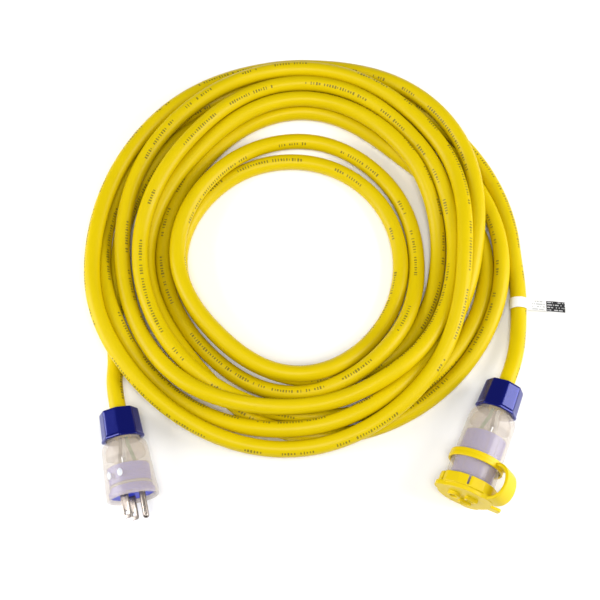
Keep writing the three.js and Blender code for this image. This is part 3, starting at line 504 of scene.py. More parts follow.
TAG_AT = Vector(CONNECTOR_LEAD[3]) + coil_centre
TAG_ALONG = (Vector(CONNECTOR_LEAD[4]) - Vector(CONNECTOR_LEAD[2])).normalized()
TAG_WIDTH = 8.6  # millimetres, as everything on the tag and the fittings is
TAG_LENGTH = 31
TAG_THICKNESS = 0.35
TAG_WRAP = 6.75  # radius of the wrap
TAG_SWEEP = 2.6  # how far the flag's end is bent along the cord
TAG_DROOP = 1.2


def frame_of(origin, right, front):
    """A place from its origin, the way to its right, and the way out of its front; y is up."""
    upward = front.cross(right)
    place = Matrix((right, upward, front)).transposed().to_4x4()
    place.translation = origin
    return place


def placed(points, place):
    """Points in millimetres in a place's own frame, as points in metres in the whole frame."""
    return [place @ (Vector(point) / 1000) for point in points]


def lofted(rings, closed=True):
    """Vertices and faces of a skin over rings of points. A closed one's last ring joins its first."""
    size = len(rings[0])
    vertices = [tuple(point) for ring in rings for point in ring]
    faces = []
    rows = range(len(rings) if closed else len(rings) - 1)
    for row in rows:
        here = row * size
        there = (row + 1) % len(rings) * size
        for column in range(size):
            following = (column + 1) % size
            faces.append((here + column, here + following, there + following, there + column))
    if not closed:
        faces.append(tuple(reversed(range(size))))
        faces.append(tuple(range(len(vertices) - size, len(vertices))))
    return vertices, faces


def made_piece(name, shapes, place, material, sharp=35):
    """One object from several (vertices, faces) shapes, with its edges sharp above an angle in degrees."""
    vertices, faces = [], []
    for shape_vertices, shape_faces in shapes:
        faces += [tuple(index + len(vertices) for index in face) for face in shape_faces]
        vertices += list(shape_vertices)
    made = add_piece(name, placed(vertices, place), faces, material)
    edit = bmesh.new()
    edit.from_mesh(made.data)
    bmesh.ops.recalc_face_normals(edit, faces=edit.faces)
    edit.to_mesh(made.data)
    edit.free()
    made.data.set_sharp_from_angle(angle=math.radians(sharp))
    return made


def rounded_corners(outline, radius, steps=4):
    """A closed outline with an arc at each corner, no longer than its sides leave room for."""
    points = [Vector(point) for point in outline]
    made = []
    for before, corner, after in zip([points[-1], *points], points, [*points[1:], points[0]]):
        into, out = before - corner, after - corner
        start = corner + min(radius, 0.45 * into.length) * into.normalized()
        end = corner + min(radius, 0.45 * out.length) * out.normalized()
        for step in range(steps + 1):
            share = step / steps
            made.append((1 - share) ** 2 * start + 2 * share * (1 - share) * corner + share ** 2 * end)
    return made


def even_angles(count):
    return [2 * math.pi * k / count for k in range(count)]


def polar(radius, angle, *height):
    return (radius * math.cos(angle), radius * math.sin(angle), *height)


def round_ring(radius, height, segments=128):
    return [polar(radius, angle, height) for angle in even_angles(segments)]


def turned(outline, radius=0.4, segments=96, closed=True):
    """A shape turned about z from an outline of (radius, height). A closed one's corners are rounded."""
    points = rounded_corners(outline, radius) if closed else outline
    return lofted([round_ring(out, height, segments) for out, height in points], closed)


def tag_finish():
    material = moulded_finish("printed_vinyl", (0.82, 0.82, 0.8), 0.45, grain=2500)
    tree = material.node_tree
    shader = tree.nodes["Principled BSDF"]
    skin = next(made for made in tree.nodes if made.type == "GROUP")
    place = add_node(tree, "ShaderNodeSeparateXYZ", {0: tree.nodes.new("ShaderNodeUVMap").outputs[0]})
    along, across = place.outputs[0], place.outputs[1]
    block = maths(tree, "GREATER_THAN", along, 0.5)
    block = maths(tree, "MULTIPLY", block, maths(tree, "LESS_THAN", along, 0.97))
    rows = maths(tree, "FRACT", maths(tree, "MULTIPLY", across, 4.0))
    row = maths(tree, "COMPARE", rows, 0.5, 0.2)
    seed = maths(tree, "FLOOR", maths(tree, "MULTIPLY", along, 42.0))
    seed = maths(tree, "MULTIPLY_ADD", maths(tree, "FLOOR", maths(tree, "MULTIPLY", across, 4.0)), 31.0, seed)
    dash = maths(tree, "MULTIPLY", maths(tree, "GREATER_THAN", random_value(tree, seed), 0.35), row)
    margin = maths(tree, "COMPARE", along, 0.3, 0.16)
    grey = maths(tree, "MULTIPLY", maths(tree, "MULTIPLY", dash, margin), 0.55)
    colour = mixed(tree, grey, skin.outputs["Colour"], (0.1, 0.1, 0.1, 1))
    black = mixed(tree, maths(tree, "MULTIPLY", dash, 0.75), (0.012, 0.012, 0.014, 1), (0.7, 0.7, 0.7, 1))
    tree.links.new(mixed(tree, block, colour, black), shader.inputs["Base Color"])
    return material


def tag_flag():
    """The flag: a thin strip, a little bent and drooping towards its end."""
    rings = []
    steps = 24
    for step in range(steps + 1):
        share = step / steps
        out = TAG_WRAP - 0.3 + TAG_LENGTH * share
        aside = -TAG_SWEEP * share ** 1.5
        height = 0.35 * math.sin(5 * share) - TAG_DROOP * share ** 2
        ring = []
        for across in (-1, -0.5, 0, 0.5, 1, 1, 0.5, 0, -0.5, -1):
            top = 0.5 if len(ring) < 5 else -0.5
            ring.append((out, height + top * TAG_THICKNESS, aside + across * TAG_WIDTH / 2))
        rings.append(ring)
    return lofted(rings, closed=False)


across_cord = TAG_ALONG.cross(Vector((0, 0, 1))).normalized()
if across_cord.x < 0:
    across_cord = -across_cord
tag_place = frame_of(TAG_AT, across_cord, TAG_ALONG)
half_width = TAG_WIDTH / 2
wrap_outline = [
    (TAG_WRAP - 0.3, -half_width),
    (TAG_WRAP + TAG_THICKNESS, -half_width),
    (TAG_WRAP + TAG_THICKNESS, half_width),
    (TAG_WRAP - 0.3, half_width),
]
tag = made_piece("lead_tag", [turned(wrap_outline, 0.1, 48), tag_flag()], tag_place, tag_finish())
tag_uv = tag.data.uv_layers.new(name="along_and_across")
for loop in tag.data.loops:
    local = tag_place.inverted() @ tag.data.vertices[loop.vertex_index].co * 1000
    along = (local.x - TAG_WRAP) / TAG_LENGTH if abs(local.y) < 3 and local.x > TAG_WRAP + 0.5 else 0
    swept = TAG_SWEEP * max(along, 0) ** 1.5
    tag_uv.data[loop.index].uv = (along, (local.z + swept) / TAG_WIDTH + 0.5)
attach(tag, "cord_set")
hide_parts("cord_tag")

# ---- The gland nuts ----------------------------------------------------------------------------------
# A nut of glossy cobalt nylon screws down on the back of each fitting and squeezes the grommet on the
# cord. It has eight flats with eased corners, widens to a lip at its front, and turns freely on its thread.

NUT_SIDES = 8
NUT_EASE = 46  # the higher, the sharper the nut's corners
NUT_OUTSIDE = [  # how far each flat lies from the axis, at each height
    (13.3, 0.0), (13.75, 0.12), (14.05, 0.5), (14.2, 1.1), (14.25, 1.6),
    (15.05, 19.9), (15.12, 20.4), (15.4, 20.9), (15.5, 21.3), (15.55, 22.3), (15.42, 22.75), (15.1, 23.0),
]
NUT_INSIDE = [(13.9, 23.0), (13.4, 22.8), (13.2, 22.3)]
NUT_THREAD = (5.2, 21.4, 2.5)  # from, to and pitch of the turns inside
NUT_THROAT = [
    (13.2, 3.6), (12.9, 3.2), (7.7, 3.2), (7.3, 3.05), (7.15, 2.7), (7.15, 0.5), (7.25, 0.15), (7.6, 0.0),
]

plug_place = frame_of(PLUG_BACK, Vector((-PLUG_FRONT.y, PLUG_FRONT.x, 0)).normalized(), PLUG_FRONT)
connector_right = Vector((-CONNECTOR_FRONT.y, CONNECTOR_FRONT.x, 0)).normalized()
connector_place = frame_of(CONNECTOR_BACK, connector_right, CONNECTOR_FRONT)
fitting_places = {"plug": plug_place, "connector": connector_place}


def thread_outline(start, end, pitch, crest, root):
    """Points down one side of a thread, from its start to its end."""
    points = []
    height = start
    while height + pitch < end:
        points += [(crest, height), (root, height + 0.35 * pitch)]
        points += [(root, height + 0.55 * pitch), (crest, height + 0.9 * pitch)]
        height += pitch
    return points


def nut_ring(flat, height, segments=128):
    """A ring with a flat for each of the nut's sides, and eased corners between them."""
    ring = []
    for angle in even_angles(segments):
        total = 0
        for side in range(NUT_SIDES):
            facing = math.cos(angle - 2 * math.pi * (side + 0.5) / NUT_SIDES)
            total += max(facing, 0) ** NUT_EASE
        ring.append(polar(flat / total ** (1 / NUT_EASE), angle, height))
    return ring


nut_finish = moulded_finish(
    "cobalt_nylon", (0.004, 0.007, 0.11), 0.14, patchiness=0.08, grain=700, relief=0.000006, Metallic=0.2,
    Coat_Weight=0.5, Coat_Roughness=0.05, Coat_Tint=(0.35, 0.4, 1, 1), Specular_Tint=(0.3, 0.35, 1, 1),
)
inner_thread = [(radius, height) for radius, height in reversed(thread_outline(*NUT_THREAD, 13.2, 13.0))]
for fitting, place in fitting_places.items():
    rings = [nut_ring(*outside) for outside in NUT_OUTSIDE]
    rings += [round_ring(*inside) for inside in NUT_INSIDE + inner_thread + NUT_THROAT]
    nut = made_piece(f"{fitting}_gland_nut", [lofted(rings)], place, nut_finish, sharp=50)
    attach(nut, f"{fitting}_nut_body")
    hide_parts(f"{fitting}_nut")

# ---- The slip washers and the grommets ---------------------------------------------------------------
# Under each nut a slippery white washer lets the nut turn without dragging the grommet round. The grommet
# is black rubber with three ribs in its bore, and makes the cord's seal.

WASHER = [(7.15, 3.5), (10.6, 3.5), (10.6, 5.1), (7.15, 5.1)]
GROMMET_OUTSIDE = [(6.75, 5.4), (9.2, 5.4), (10.6, 7.6), (10.6, 13.9), (9.0, 15.9), (6.75, 15.9)]
GROMMET_RIBS = [
    (6.75, 14.0), (7.2, 13.4), (6.75, 12.8), (6.75, 11.2), (7.2, 10.6), (6.75, 10.0), (6.75, 8.2), (7.2, 7.6),
]

washer_finish = moulded_finish("slip_washer_nylon", (0.8, 0.78, 0.7), 0.4)
grommet_finish = moulded_finish("grommet_rubber", (0.018, 0.018, 0.018), 0.7, grain=2200, relief=0.00004)
for fitting, place in fitting_places.items():
    washer = made_piece(f"{fitting}_nut_washer", [turned(WASHER, 0.3)], place, washer_finish)
    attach(washer, f"{fitting}_washer_body")
    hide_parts(f"{fitting}_slip_washer")
    grommet_shape = turned(GROMMET_OUTSIDE + GROMMET_RIBS, 0.35)
    grommet = made_piece(f"{fitting}_cord_grommet", [grommet_shape], place, grommet_finish)
    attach(grommet, "cord_set")
    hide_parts(f"{fitting}_grommet")

# ---- The shells --------------------------------------------------------------------------------------
# Each fitting's shell is one moulding of milky, see-through thermoplastic: a threaded collar for the nut,
# a round shoulder, and a barrel that the blue insert slides into. A faint mould line runs along each side.

SHELL_THREAD = (8.2, 23.0, 2.5, 12.9, 12.35)
PLUG_SHELL_OUTSIDE = [
    (12.9, 24.7), (15.0, 25.3), (16.5, 26.5), (17.4, 28.6), (17.8, 31.5), (18.05, 36.0), (19.0, 52.0),
    (19.35, 58.0), (19.75, 60.5), (20.0, 63.0), (20.0, 68.4), (19.5, 69.0),
]
CONNECTOR_SHELL_OUTSIDE = [
    (12.9, 24.7), (15.4, 25.3), (17.0, 26.4), (17.9, 28.4), (18.3, 31.5), (18.5, 36.0), (19.2, 79.9),
    (19.2, 80.4), (18.5, 80.7), (18.5, 81.7), (19.3, 82.0), (19.4, 90.4), (18.9, 91.0),
]
MOULD_LINE = 0.14  # how far the mould line stands out
MOULD_LINE_SPREAD = 0.45
SHELL_SEGMENTS = 240


def shell_inside(mouth, face, wide):
    flange = face - 3.1
    return [
        (17.7, mouth), (17.7, flange), (16.3, flange), (16.3, 43.7), (9.5, 43.7), (9.5, 38.2),
        (wide, 36.7), (wide - 1, 30.0), (9.5, 23.0), (7.15, 19.4), (7.15, 16.2), (10.9, 16.2), (10.9, 7.6),
    ]


def shell_shape(outside, inside, line_angle):
    """The shell's skin, with a mould line down two opposite sides of its barrel."""
    outline = rounded_corners([(12.9, 7.6), *thread_outline(*SHELL_THREAD), *outside, *inside], 0.7, 3)
    reach = len(thread_outline(*SHELL_THREAD)) * 4
    outer = reach + 4 * len(outside)
    rings = []
    for number, point in enumerate(outline):
        on_barrel = reach < number < outer and point.y > 28
        ring = []
        for angle in even_angles(SHELL_SEGMENTS):
            aside = math.sin(angle - line_angle) * point.x
            proud = MOULD_LINE * math.exp(-(aside / MOULD_LINE_SPREAD) ** 2) if on_barrel else 0
            ring.append(polar(point.x + proud, angle, point.y))
        rings.append(ring)
    return lofted(rings)


shell_finish = moulded_finish(
    "milky_shell", (0.68, 0.59, 0.49), 0.2, clouding=0.04, patchiness=0.08, grain=900, relief=0.000006,
    Alpha=0.36,
)
SHELLS = {
    "plug": (PLUG_SHELL_OUTSIDE, shell_inside(69.0, 65.8, 15.7), math.radians(97)),
    "connector": (CONNECTOR_SHELL_OUTSIDE, shell_inside(91.0, 89.0, 16.1), math.radians(75)),
}
for fitting, (outside, inside, line_angle) in SHELLS.items():
    shape = shell_shape(outside, inside, line_angle)
    shell = made_piece(f"{fitting}_shell", [shape], fitting_places[fitting], shell_finish, sharp=60)
    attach(shell, "cord_set")
    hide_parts(f"{fitting}_body")

# The plug's shell has two small oval lugs on its left.

LUG_ANGLES = [math.radians(angle) for angle in (105, 137)]
LUG_HEIGHT = 51.5
LUG_SEAT = 18.75  # radius that the lugs' middles lie at
LUG_SIZE = (0.9, 2.1, 3.2)  # out of the barrel, round it and along it


def moved(shape, turn=0.0, at=(0.0, 0.0)):
    """A shape turned about z and moved across it."""
    cosine, sine = math.cos(turn), math.sin(turn)
    vertices, faces = shape
    return [(x * cosine - y * sine + at[0], x * sine + y * cosine + at[1], z) for x, y, z in vertices], faces


def dome(angle, height, seat, size, segments=24, rows=12):
    """An egg-shaped boss, half sunk in a barrel."""
    out, around, along = size
    rings = []
    for row in range(1, rows):
        tilt = math.pi * row / rows
        ring = []
        for turn in even_angles(segments):
            x = seat + out * math.sin(tilt) * math.cos(turn)
            y = around * math.sin(tilt) * math.sin(turn)
            ring.append((x, y, height + along * math.cos(tilt)))
        rings.append(ring)
    return moved(lofted(rings, closed=False), angle)


lug_finish = moulded_finish("lug_white", (0.62, 0.65, 0.72), 0.3, clouding=0.05)
domes = [dome(angle, LUG_HEIGHT, LUG_SEAT, LUG_SIZE) for angle in LUG_ANGLES]
lugs = made_piece("plug_snap_lugs", domes, plug_place, lug_finish)
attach(lugs, "cord_set")

# ---- The inserts -------------------------------------------------------------------------------------
# A blue moulding in each shell carries the contacts. The plug's has a flat face with three openings and
# fine grip rings round it. The connector's has twelve lengthwise ribs, and a slot or hole for each contact.

BLADE_LINE = -4.0
BLADE_AT = 6.35  # of each blade, either side of the middle
GROUND_AT = 7.9
BLADE_HALF_WIDTH = 3.175
BLADE_HALF_THICKNESS = 0.75
PIN_RADIUS = 2.4
SCREW_RING = 12.3  # radius of the circle that the assembly screws stand on
SCREW_ANGLES = (math.radians(-78), math.radians(78))
ROLLS = {"plug": math.radians(18), "connector": math.radians(165)}
FACES = {"plug": 65.8, "connector": 89.0}
INSERT_BACK = 44.0
TERMINAL_FLOOR = 56.0
POCKET_HALF_WIDTH = 3.3
# Each terminal's name, place, turn, and how far its pocket runs back and forward.
TERMINALS = [
    ("line", (BLADE_LINE, BLADE_AT), 0.0, (-2.35, 6.3)),
    ("neutral", (BLADE_LINE, -BLADE_AT), math.pi, (-2.35, 6.3)),
    ("ground", (GROUND_AT, 0.0), math.pi / 2, (-3.5, 8.6)),
]


def box_shape(low, high):
    corners = ((low[0], low[1]), (high[0], low[1]), (high[0], high[1]), (low[0], high[1]))
    return lofted([[(x, y, height) for x, y in corners] for height in (low[2], high[2])], closed=False)


def bar_shape(radius, low, high, at=(0.0, 0.0), segments=40):
    rings = [round_ring(radius, height, segments) for height in (low, high)]
    return moved(lofted(rings, closed=False), at=at)


def bake_modifiers(made, sharp=35):
    """Puts what the modifiers make into the mesh itself."""
    bpy.context.view_layer.update()
    shaped = made.evaluated_get(bpy.context.evaluated_depsgraph_get())
    mesh = bpy.data.meshes.new_from_object(shaped)
    made.modifiers.clear()
    made.data = mesh
    mesh.polygons.foreach_set("use_smooth", [True] * len(mesh.polygons))
    mesh.set_sharp_from_angle(angle=math.radians(sharp))


def cut_away(made, shapes, place):
    """Cuts closed shapes out of a piece."""
    tools = [made_piece("cutter", [shape], place, made.data.materials[0]) for shape in shapes]
    for tool in tools:
        cut = made.modifiers.new("cut", "BOOLEAN")
        cut.operation = "DIFFERENCE"
        cut.object = tool
    bake_modifiers(made)
    for tool in tools:
        bpy.data.objects.remove(tool)


def openings(roll, low, high, margin):
    """Slots and a hole through a face, for two blades and a ground pin."""
    wide, thick = BLADE_HALF_WIDTH + margin, BLADE_HALF_THICKNESS + margin
    cuts = []
    for y in (-BLADE_AT, BLADE_AT):
        cuts.append(box_shape((BLADE_LINE - wide, y - thick, low), (BLADE_LINE + wide, y + thick, high)))
    cuts.append(bar_shape(PIN_RADIUS + margin, low, high, (GROUND_AT, 0)))
    return [moved(cut, roll) for cut in cuts]


def screw_wells(roll, face):
    """Wells in the face for the two assembly screws."""
    wells = []
    for angle in SCREW_ANGLES:
        at = polar(SCREW_RING, angle)
        wells.append(moved(bar_shape(2.5, face - 2.8, face + 1, at), roll))
        wells.append(moved(bar_shape(1.7, 43, face, at), roll))
    return wells


def pockets(roll):
    made = []
    for _, at, turn, (back, front) in TERMINALS:
        pocket = box_shape((-POCKET_HALF_WIDTH, back, 43.0), (POCKET_HALF_WIDTH, front, TERMINAL_FLOOR))
        made.append(moved(moved(pocket, turn, at), roll))
    return made


def insert_outline(face, rings):
    """An insert's side and face, with its seal's groove and its grip rings."""
    seal = face - 8.0
    outline = [(0.4, INSERT_BACK), (15.0, INSERT_BACK), (15.7, INSERT_BACK + 0.3), (16.0, INSERT_BACK + 1.0)]
    for height in rings:
        outline += [(16.0, height), (15.75, height + 0.2), (15.75, height + 0.7), (16.0, height + 0.9)]
    outline += [(16.0, seal), (14.2, seal), (14.2, seal + 2.5), (16.0, seal + 2.5), (16.0, face - 2.8)]
    outline += [(17.2, face - 2.8), (17.4, face - 2.6), (17.4, face - 0.3), (17.1, face), (0.4, face)]
    return outline


insert_finish = moulded_finish("insert_blue", (0.02, 0.045, 0.66), 0.4, grain=1300)
for fitting, roll in ROLLS.items():
    face = FACES[fitting]
    place = fitting_places[fitting]
    if fitting == "plug":
        outline = insert_outline(face, (46.6, 48.6, 50.6, 52.6, 54.6))
        cuts = pockets(roll) + openings(roll, 55, face + 1, 0.3)
    else:
        outline = insert_outline(face, ())
        cuts = pockets(roll) + openings(roll, 84, face + 1, 0.5)
        for y in (-BLADE_AT, BLADE_AT):
            chamber = box_shape((BLADE_LINE - 3.475, y - 2.3, 55), (BLADE_LINE + 3.475, y + 2.3, 85))
            cuts.append(moved(chamber, roll))
        cuts.append(moved(bar_shape(3.65, 55, 85, (GROUND_AT, 0)), roll))
        for rib in range(12):
            hollow = box_shape((15.2, -2.1, 46), (17, 2.1, 78))
            cuts.append(moved(hollow, roll + (rib + 0.5) * math.pi / 6))
    name = f"{fitting}_contact_insert"
    insert = made_piece(name, [turned(outline, closed=False, segments=120)], place, insert_finish)
    cut_away(insert, cuts + screw_wells(roll, face), place)
    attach(insert, "cord_set")
    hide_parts(f"{fitting}_insert")

# ---- The blades and the ground pin -------------------------------------------------------------------
# The plug's two flat blades and its round ground pin are nickel-plated brass, and each has a foot inside
# that its wire is clamped to. The blades are stamped, so they have eased edges and a hole near the tip.

BLADE_BACK, BLADE_TIP = 55.2, 84.0
BLADE_EASE = 0.18
PIN_OUTLINE = [(0.5, 55.2), (2.4, 55.2), (2.4, 84.2), (2.25, 84.9), (1.85, 85.6), (1.2, 86.2), (0.5, 86.4)]
FOOT = {"blade": ((-2.7, -0.75, 54.4), (2.7, 5.7, 55.6)), "ground": ((-2.7, -2.5, 54.4), (2.7, 8.0, 55.6))}


def worn_metal_group():
    """Bare or plated metal: fine rubbing marks along z, dull finger-marked patches, and slight tarnish."""
    inputs = {"Colour": (0.8, 0.8, 0.8, 1), "Tarnish": (0.4, 0.3, 0.2, 1), "Roughness": 0.3, "Marks": 3000.0}
    group, given = skin_group("worn_metal", inputs)
    place = group.nodes.new("ShaderNodeTexCoord").outputs["Object"]
    drawn = add_node(group, "ShaderNodeVectorMath", {0: place, 1: (1.0, 0.08, 1.0)}, operation="MULTIPLY")
    marks = noise(group, drawn.outputs[0], given["Marks"], 2.0)
    patches = noise(group, place, 260.0, 4.0)
    dull = maths(group, "MULTIPLY", maths(group, "SUBTRACT", patches, 0.45), 1.1)
    dull = add_node(group, "ShaderNodeClamp", {0: dull}).outputs[0]
    colour = mixed(group, dull, given["Colour"], given["Tarnish"])
    rough = maths(group, "MULTIPLY_ADD", patches, 0.25, given["Roughness"])
    return give(group, colour, maths(group, "SUBTRACT", rough, 0.1), marks)


worn_metal = worn_metal_group()


def metal_finish(name, colour, tarnish, roughness):
    values = {"Colour": (*colour, 1), "Tarnish": (*tarnish, 1), "Roughness": roughness}
    material, shader = skinned(name, worn_metal, values, 0.000008)
    shader.inputs["Metallic"].default_value = 1
    return material


def plate_shape(outline, holes, low, high, ease=0.0):
    """A plate with eased edges, from its outline and holes seen along z."""
    curve = bpy.data.curves.new("plate", "CURVE")
    curve.dimensions = "2D"
    curve.fill_mode = "BOTH"
    curve.extrude = (high - low) / 2 - ease
    curve.bevel_depth = ease
    curve.bevel_resolution = 3
    curve.offset = -ease
    for points in [outline, *holes]:
        spline = curve.splines.new("POLY")
        spline.points.add(len(points) - 1)
        for point, (x, y) in zip(spline.points, points):
            point.co = (x, y, 0, 1)
        spline.use_cyclic_u = True
    carrier = bpy.data.objects.new("plate", curve)
    scene.collection.objects.link(carrier)
    bpy.context.view_layer.update()
    mesh = bpy.data.meshes.new_from_object(carrier.evaluated_get(bpy.context.evaluated_depsgraph_get()))
    welded = bmesh.new()
    welded.from_mesh(mesh)
    bmesh.ops.remove_doubles(welded, verts=welded.verts, dist=0.001)
    welded.to_mesh(mesh)
    welded.free()
    middle = (low + high) / 2
    vertices = [(v.co.x, v.co.y, v.co.z + middle) for v in mesh.vertices]
    faces = [tuple(polygon.vertices) for polygon in mesh.polygons]
    bpy.data.objects.remove(carrier)
    bpy.data.curves.remove(curve)
    bpy.data.meshes.remove(mesh)
    return vertices, faces


def circle(x, y, radius):
    return [(x + radius * math.cos(t), y + radius * math.sin(t)) for t in even_angles(32)]


def blade_shape():
    """A blade, drawn flat and then stood up: x across its width, z along it."""
    outline = [
        (-3.175, BLADE_BACK), (3.175, BLADE_BACK), (3.175, BLADE_TIP - 2.0), (2.85, BLADE_TIP - 0.9),
        (2.0, BLADE_TIP), (-2.0, BLADE_TIP), (-2.85, BLADE_TIP - 0.9), (-3.175, BLADE_TIP - 2.0),
    ]
    hole = circle(0, BLADE_TIP - 4.2, 1.6)
    thick = BLADE_HALF_THICKNESS
    vertices, faces = plate_shape(outline, [hole], -thick, thick, BLADE_EASE)
    return [(x, -z, y) for x, y, z in vertices], faces


nickel_finish = metal_finish("nickel_plate", (0.27, 0.235, 0.21), (0.16, 0.13, 0.11), 0.24)
for name, at, turn, _ in TERMINALS:
    kind = "ground" if name == "ground" else "blade"
    contact = turned(PIN_OUTLINE, closed=False, segments=48) if kind == "ground" else blade_shape()
    shapes = [moved(moved(shape, turn, at), ROLLS["plug"]) for shape in (contact, box_shape(*FOOT[kind]))]
    node = "plug_ground_pin" if kind == "ground" else f"plug_{name}_blade"
    prong = made_piece(f"plug_{name}_prong", shapes, plug_place, nickel_finish, sharp=40)
    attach(prong, "cord_set")
    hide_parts(node)

# ---- What the shells hide ----------------------------------------------------------------------------
# Behind the inserts, each conductor is held under a brass clamp plate by a steel screw. Two long screws
# pull each insert into its shell against a silicone ring, and brass spring leaves grip the blades.

brass_finish = metal_finish("brass_strip", (0.66, 0.42, 0.15), (0.32, 0.17, 0.06), 0.28)
steel_finish = metal_finish("zinc_plated_steel", (0.5, 0.51, 0.53), (0.3, 0.28, 0.24), 0.32)
wire_colours = {"line": (0.012, 0.012, 0.012), "neutral": (0.75, 0.75, 0.72), "ground": (0.01, 0.2, 0.04)}
wire_finishes = {
    name: moulded_finish(f"{name}_wire_sleeve", colour, 0.4, grain=1800)
    for name, colour in wire_colours.items()
}
seal_finish = moulded_finish("silicone_ring", (0.3, 0.32, 0.38), 0.45, grain=1800)
SEAL = [
    (14.3, 0.95), (14.8, 0.1), (15.5, 0.0), (16.15, 0.5),
    (16.25, 0.95), (16.15, 1.4), (15.5, 1.9), (14.8, 1.8),
]


def dress(node, material):
    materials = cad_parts[node].data.materials
    materials.clear()
    materials.append(material)


for fitting, place in fitting_places.items():
    for name, finish in wire_finishes.items():
        dress(f"{fitting}_{name}_clamp", brass_finish)
        dress(f"{fitting}_{name}_screw", steel_finish)
        dress(f"{fitting}_{name}_conductor", finish)
        if fitting == "connector":
            dress(f"connector_{name}_contact", brass_finish)
    for number in (1, 2):
        dress(f"{fitting}_assembly_screw_{number}", steel_finish)
    back = FACES[fitting] - 7.7
    ring = turned([(radius, back + height) for radius, height in SEAL], 0.3)
    seal = made_piece(f"{fitting}_insert_seal", [ring], place, seal_finish, sharp=80)
    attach(seal, "cord_set")
    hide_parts(f"{fitting}_ring_seal")

# ---- The closure -------------------------------------------------------------------------------------
# One soft yellow rubber moulding: a band that grips the connector's barrel, a broad strap that loops
# forward, and a cap whose skirt is split into faceted fingers. Three hollow bosses take a plug's prongs
# when the cap is pushed over them, and pegs behind the cap seal the connector's openings.

BAND = [
    (19.6, 63.2), (21.2, 63.0), (21.4, 63.4), (21.35, 66.2),
    (21.6, 66.6), (21.6, 69.0), (21.3, 69.5), (19.6, 69.3),
]
SKIRT_INNER, SKIRT_OUTER = 19.7, 22.7
SKIRT_BACK, CAP_BACK, CAP_FRONT, BOSS_FRONT = 83.4, 91.3, 95.1, 97.7
SKIRT_SIDES = 14
STRAP_TURN = math.radians(35)
NOTCH_HALF = math.radians(2.2)
LOBE_RING, LOBE_RADIUS, FLANGE_RADIUS = 15.6, 9.0, 21.2
LOBES = [math.radians(angle) for angle in (0, 127, -127)]
TAB = [(19, -4), (28.2, -4), (29.2, -3), (29.2, 3), (28.2, 4), (19, 4)]
TAB_TURN = math.radians(-7)
RUBBER_VOXEL = 0.00036


def fine_arc(low, high, count):
    return [low + (high - low) * k / count for k in range(count + 1)]


def finger(start, end):
    """One finger of the skirt: faceted outside and round inside."""
    step = 2 * math.pi / SKIRT_SIDES
    outside = []
    for angle in fine_arc(start, end, 24):
        facing = (angle + step / 2) % step - step / 2
        outside.append((angle, SKIRT_OUTER * math.cos(step / 2) / math.cos(facing) + 0.25))
    around = outside + [(angle, SKIRT_INNER) for angle in reversed(fine_arc(start, end, 24))]
    return plate_shape([polar(radius, angle) for angle, radius in around], [], SKIRT_BACK, CAP_BACK + 0.4)


def flange_outline():
    """The disc joined with its three round lobes, seen from the front."""
    outline = []
    for angle in even_angles(240):
        radius = FLANGE_RADIUS
        for lobe in LOBES:
            aside = angle - lobe
            across = LOBE_RING * math.sin(aside)
            if math.cos(aside) > 0 and abs(across) < LOBE_RADIUS:
                radius = max(radius, LOBE_RING * math.cos(aside) + math.sqrt(LOBE_RADIUS ** 2 - across ** 2))
        outline.append(polar(radius, angle))
    return outline


def slot_corners(y, wide, thick):
    return [(BLADE_LINE + sx * wide, y + sy * thick) for sx, sy in ((-1, -1), (1, -1), (1, 1), (-1, 1))]


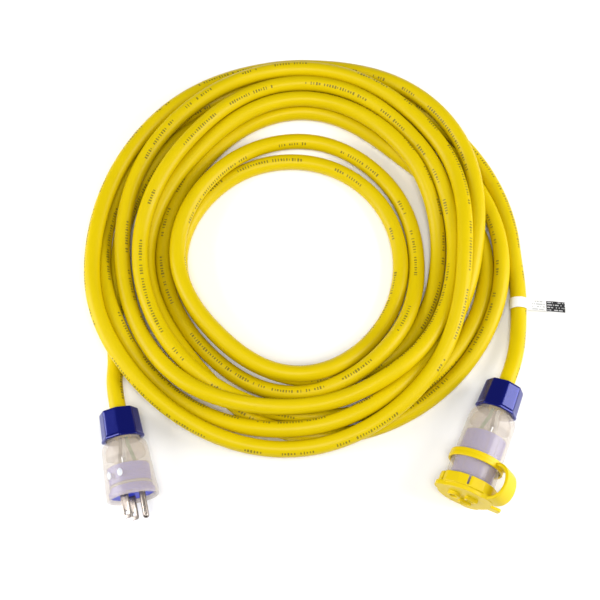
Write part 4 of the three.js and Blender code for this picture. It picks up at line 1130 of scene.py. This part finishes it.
def cap_shapes():
    roll = ROLLS["connector"]
    sides = (-BLADE_AT, BLADE_AT)
    holes = [circle(GROUND_AT, 0, 3.0), *(slot_corners(y, BLADE_HALF_WIDTH, 1.05) for y in sides)]
    rims = [circle(GROUND_AT, 0, 5.0), *(slot_corners(y, 4.775, 2.45) for y in sides)]
    turning = [
        plate_shape(flange_outline(), [], CAP_BACK, CAP_FRONT - 1.9),
        plate_shape(flange_outline(), holes, CAP_FRONT - 2.0, CAP_FRONT),
    ]
    for rim, hole in zip(rims, holes):
        turning.append(plate_shape(rim, [hole], CAP_FRONT - 0.3, BOSS_FRONT))
    shapes = [moved(shape, roll) for shape in turning + openings(0.0, 85.6, 90.5, -0.1)]
    shapes.append(bar_shape(16.9, 89.3, CAP_BACK + 0.5, segments=96))
    notches = [STRAP_TURN + (number + 1) * math.pi / 3 for number in range(5)]
    bounds = [*notches, notches[0] + 2 * math.pi]
    shapes += [finger(low + NOTCH_HALF, high - NOTCH_HALF) for low, high in zip(bounds, bounds[1:])]
    hoop = [round_ring(radius, height) for radius, height in (
        (19.4, CAP_BACK - 0.9), (22.2, CAP_BACK - 0.9), (22.2, CAP_BACK + 0.5), (19.4, CAP_BACK + 0.5))]
    shapes.append(lofted(hoop))
    shapes.append(moved(plate_shape(TAB, [], CAP_FRONT - 2.4, CAP_FRONT), TAB_TURN))
    return shapes


rubber_finish = moulded_finish(
    "yellow_rubber", (0.68, 0.5, 0.0005), 0.4, clouding=0.1, patchiness=0.2, grain=1600, relief=0.00003,
    Specular_IOR_Level=0.25,
)
cap = made_piece("sealing_cap", cap_shapes(), connector_place, rubber_finish)
remesh = cap.modifiers.new("moulded", "REMESH")
remesh.mode = "VOXEL"
remesh.voxel_size = RUBBER_VOXEL
soften = cap.modifiers.new("softened", "SMOOTH")
soften.factor = 0.5
soften.iterations = 5
bake_modifiers(cap, sharp=60)
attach(cap, "cap_body")
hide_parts("closure_cap")

band = made_piece("tether_band", [turned(BAND, 0.4)], connector_place, rubber_finish)
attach(band, "cord_set")
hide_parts("strap_band")

# The strap's middle line, as distance from the connector's axis and height, and its width there.
STRAP = [
    (20.9, 66.3, 13.0), (23.5, 66.3, 14.5), (27.5, 67.6, 15.8), (31.6, 71.4, 16.0), (33.6, 77.0, 16.0),
    (33.8, 82.5, 16.0), (32.0, 88.2, 16.0), (28.6, 91.8, 15.5), (24.8, 93.2, 14.5), (21.5, 93.3, 13.0),
]
STRAP_THICKNESS = 2.8


def strap_shape():
    line = rounded_route([(out, height, width) for out, height, width in STRAP], 0.8)
    along = np.gradient(line[:, :2], axis=0)
    along /= np.linalg.norm(along, axis=1)[:, None]
    rings = []
    for (out, height, width), (run_out, run_height) in zip(line, along):
        corners = [(-0.5, -0.5), (0.5, -0.5), (0.5, 0.5), (-0.5, 0.5)]
        section = [(a * width, b * STRAP_THICKNESS) for a, b in corners]
        ring = []
        for point in rounded_corners(section, 1.1, 5):
            ring.append((out - run_height * point.y, point.x, height + run_out * point.y))
        rings.append(ring)
    return moved(lofted(rings, closed=False), STRAP_TURN)


strap = made_piece("tether_strap", [strap_shape()], connector_place, rubber_finish, sharp=60)
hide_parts("cap_strap")
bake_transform(strap)
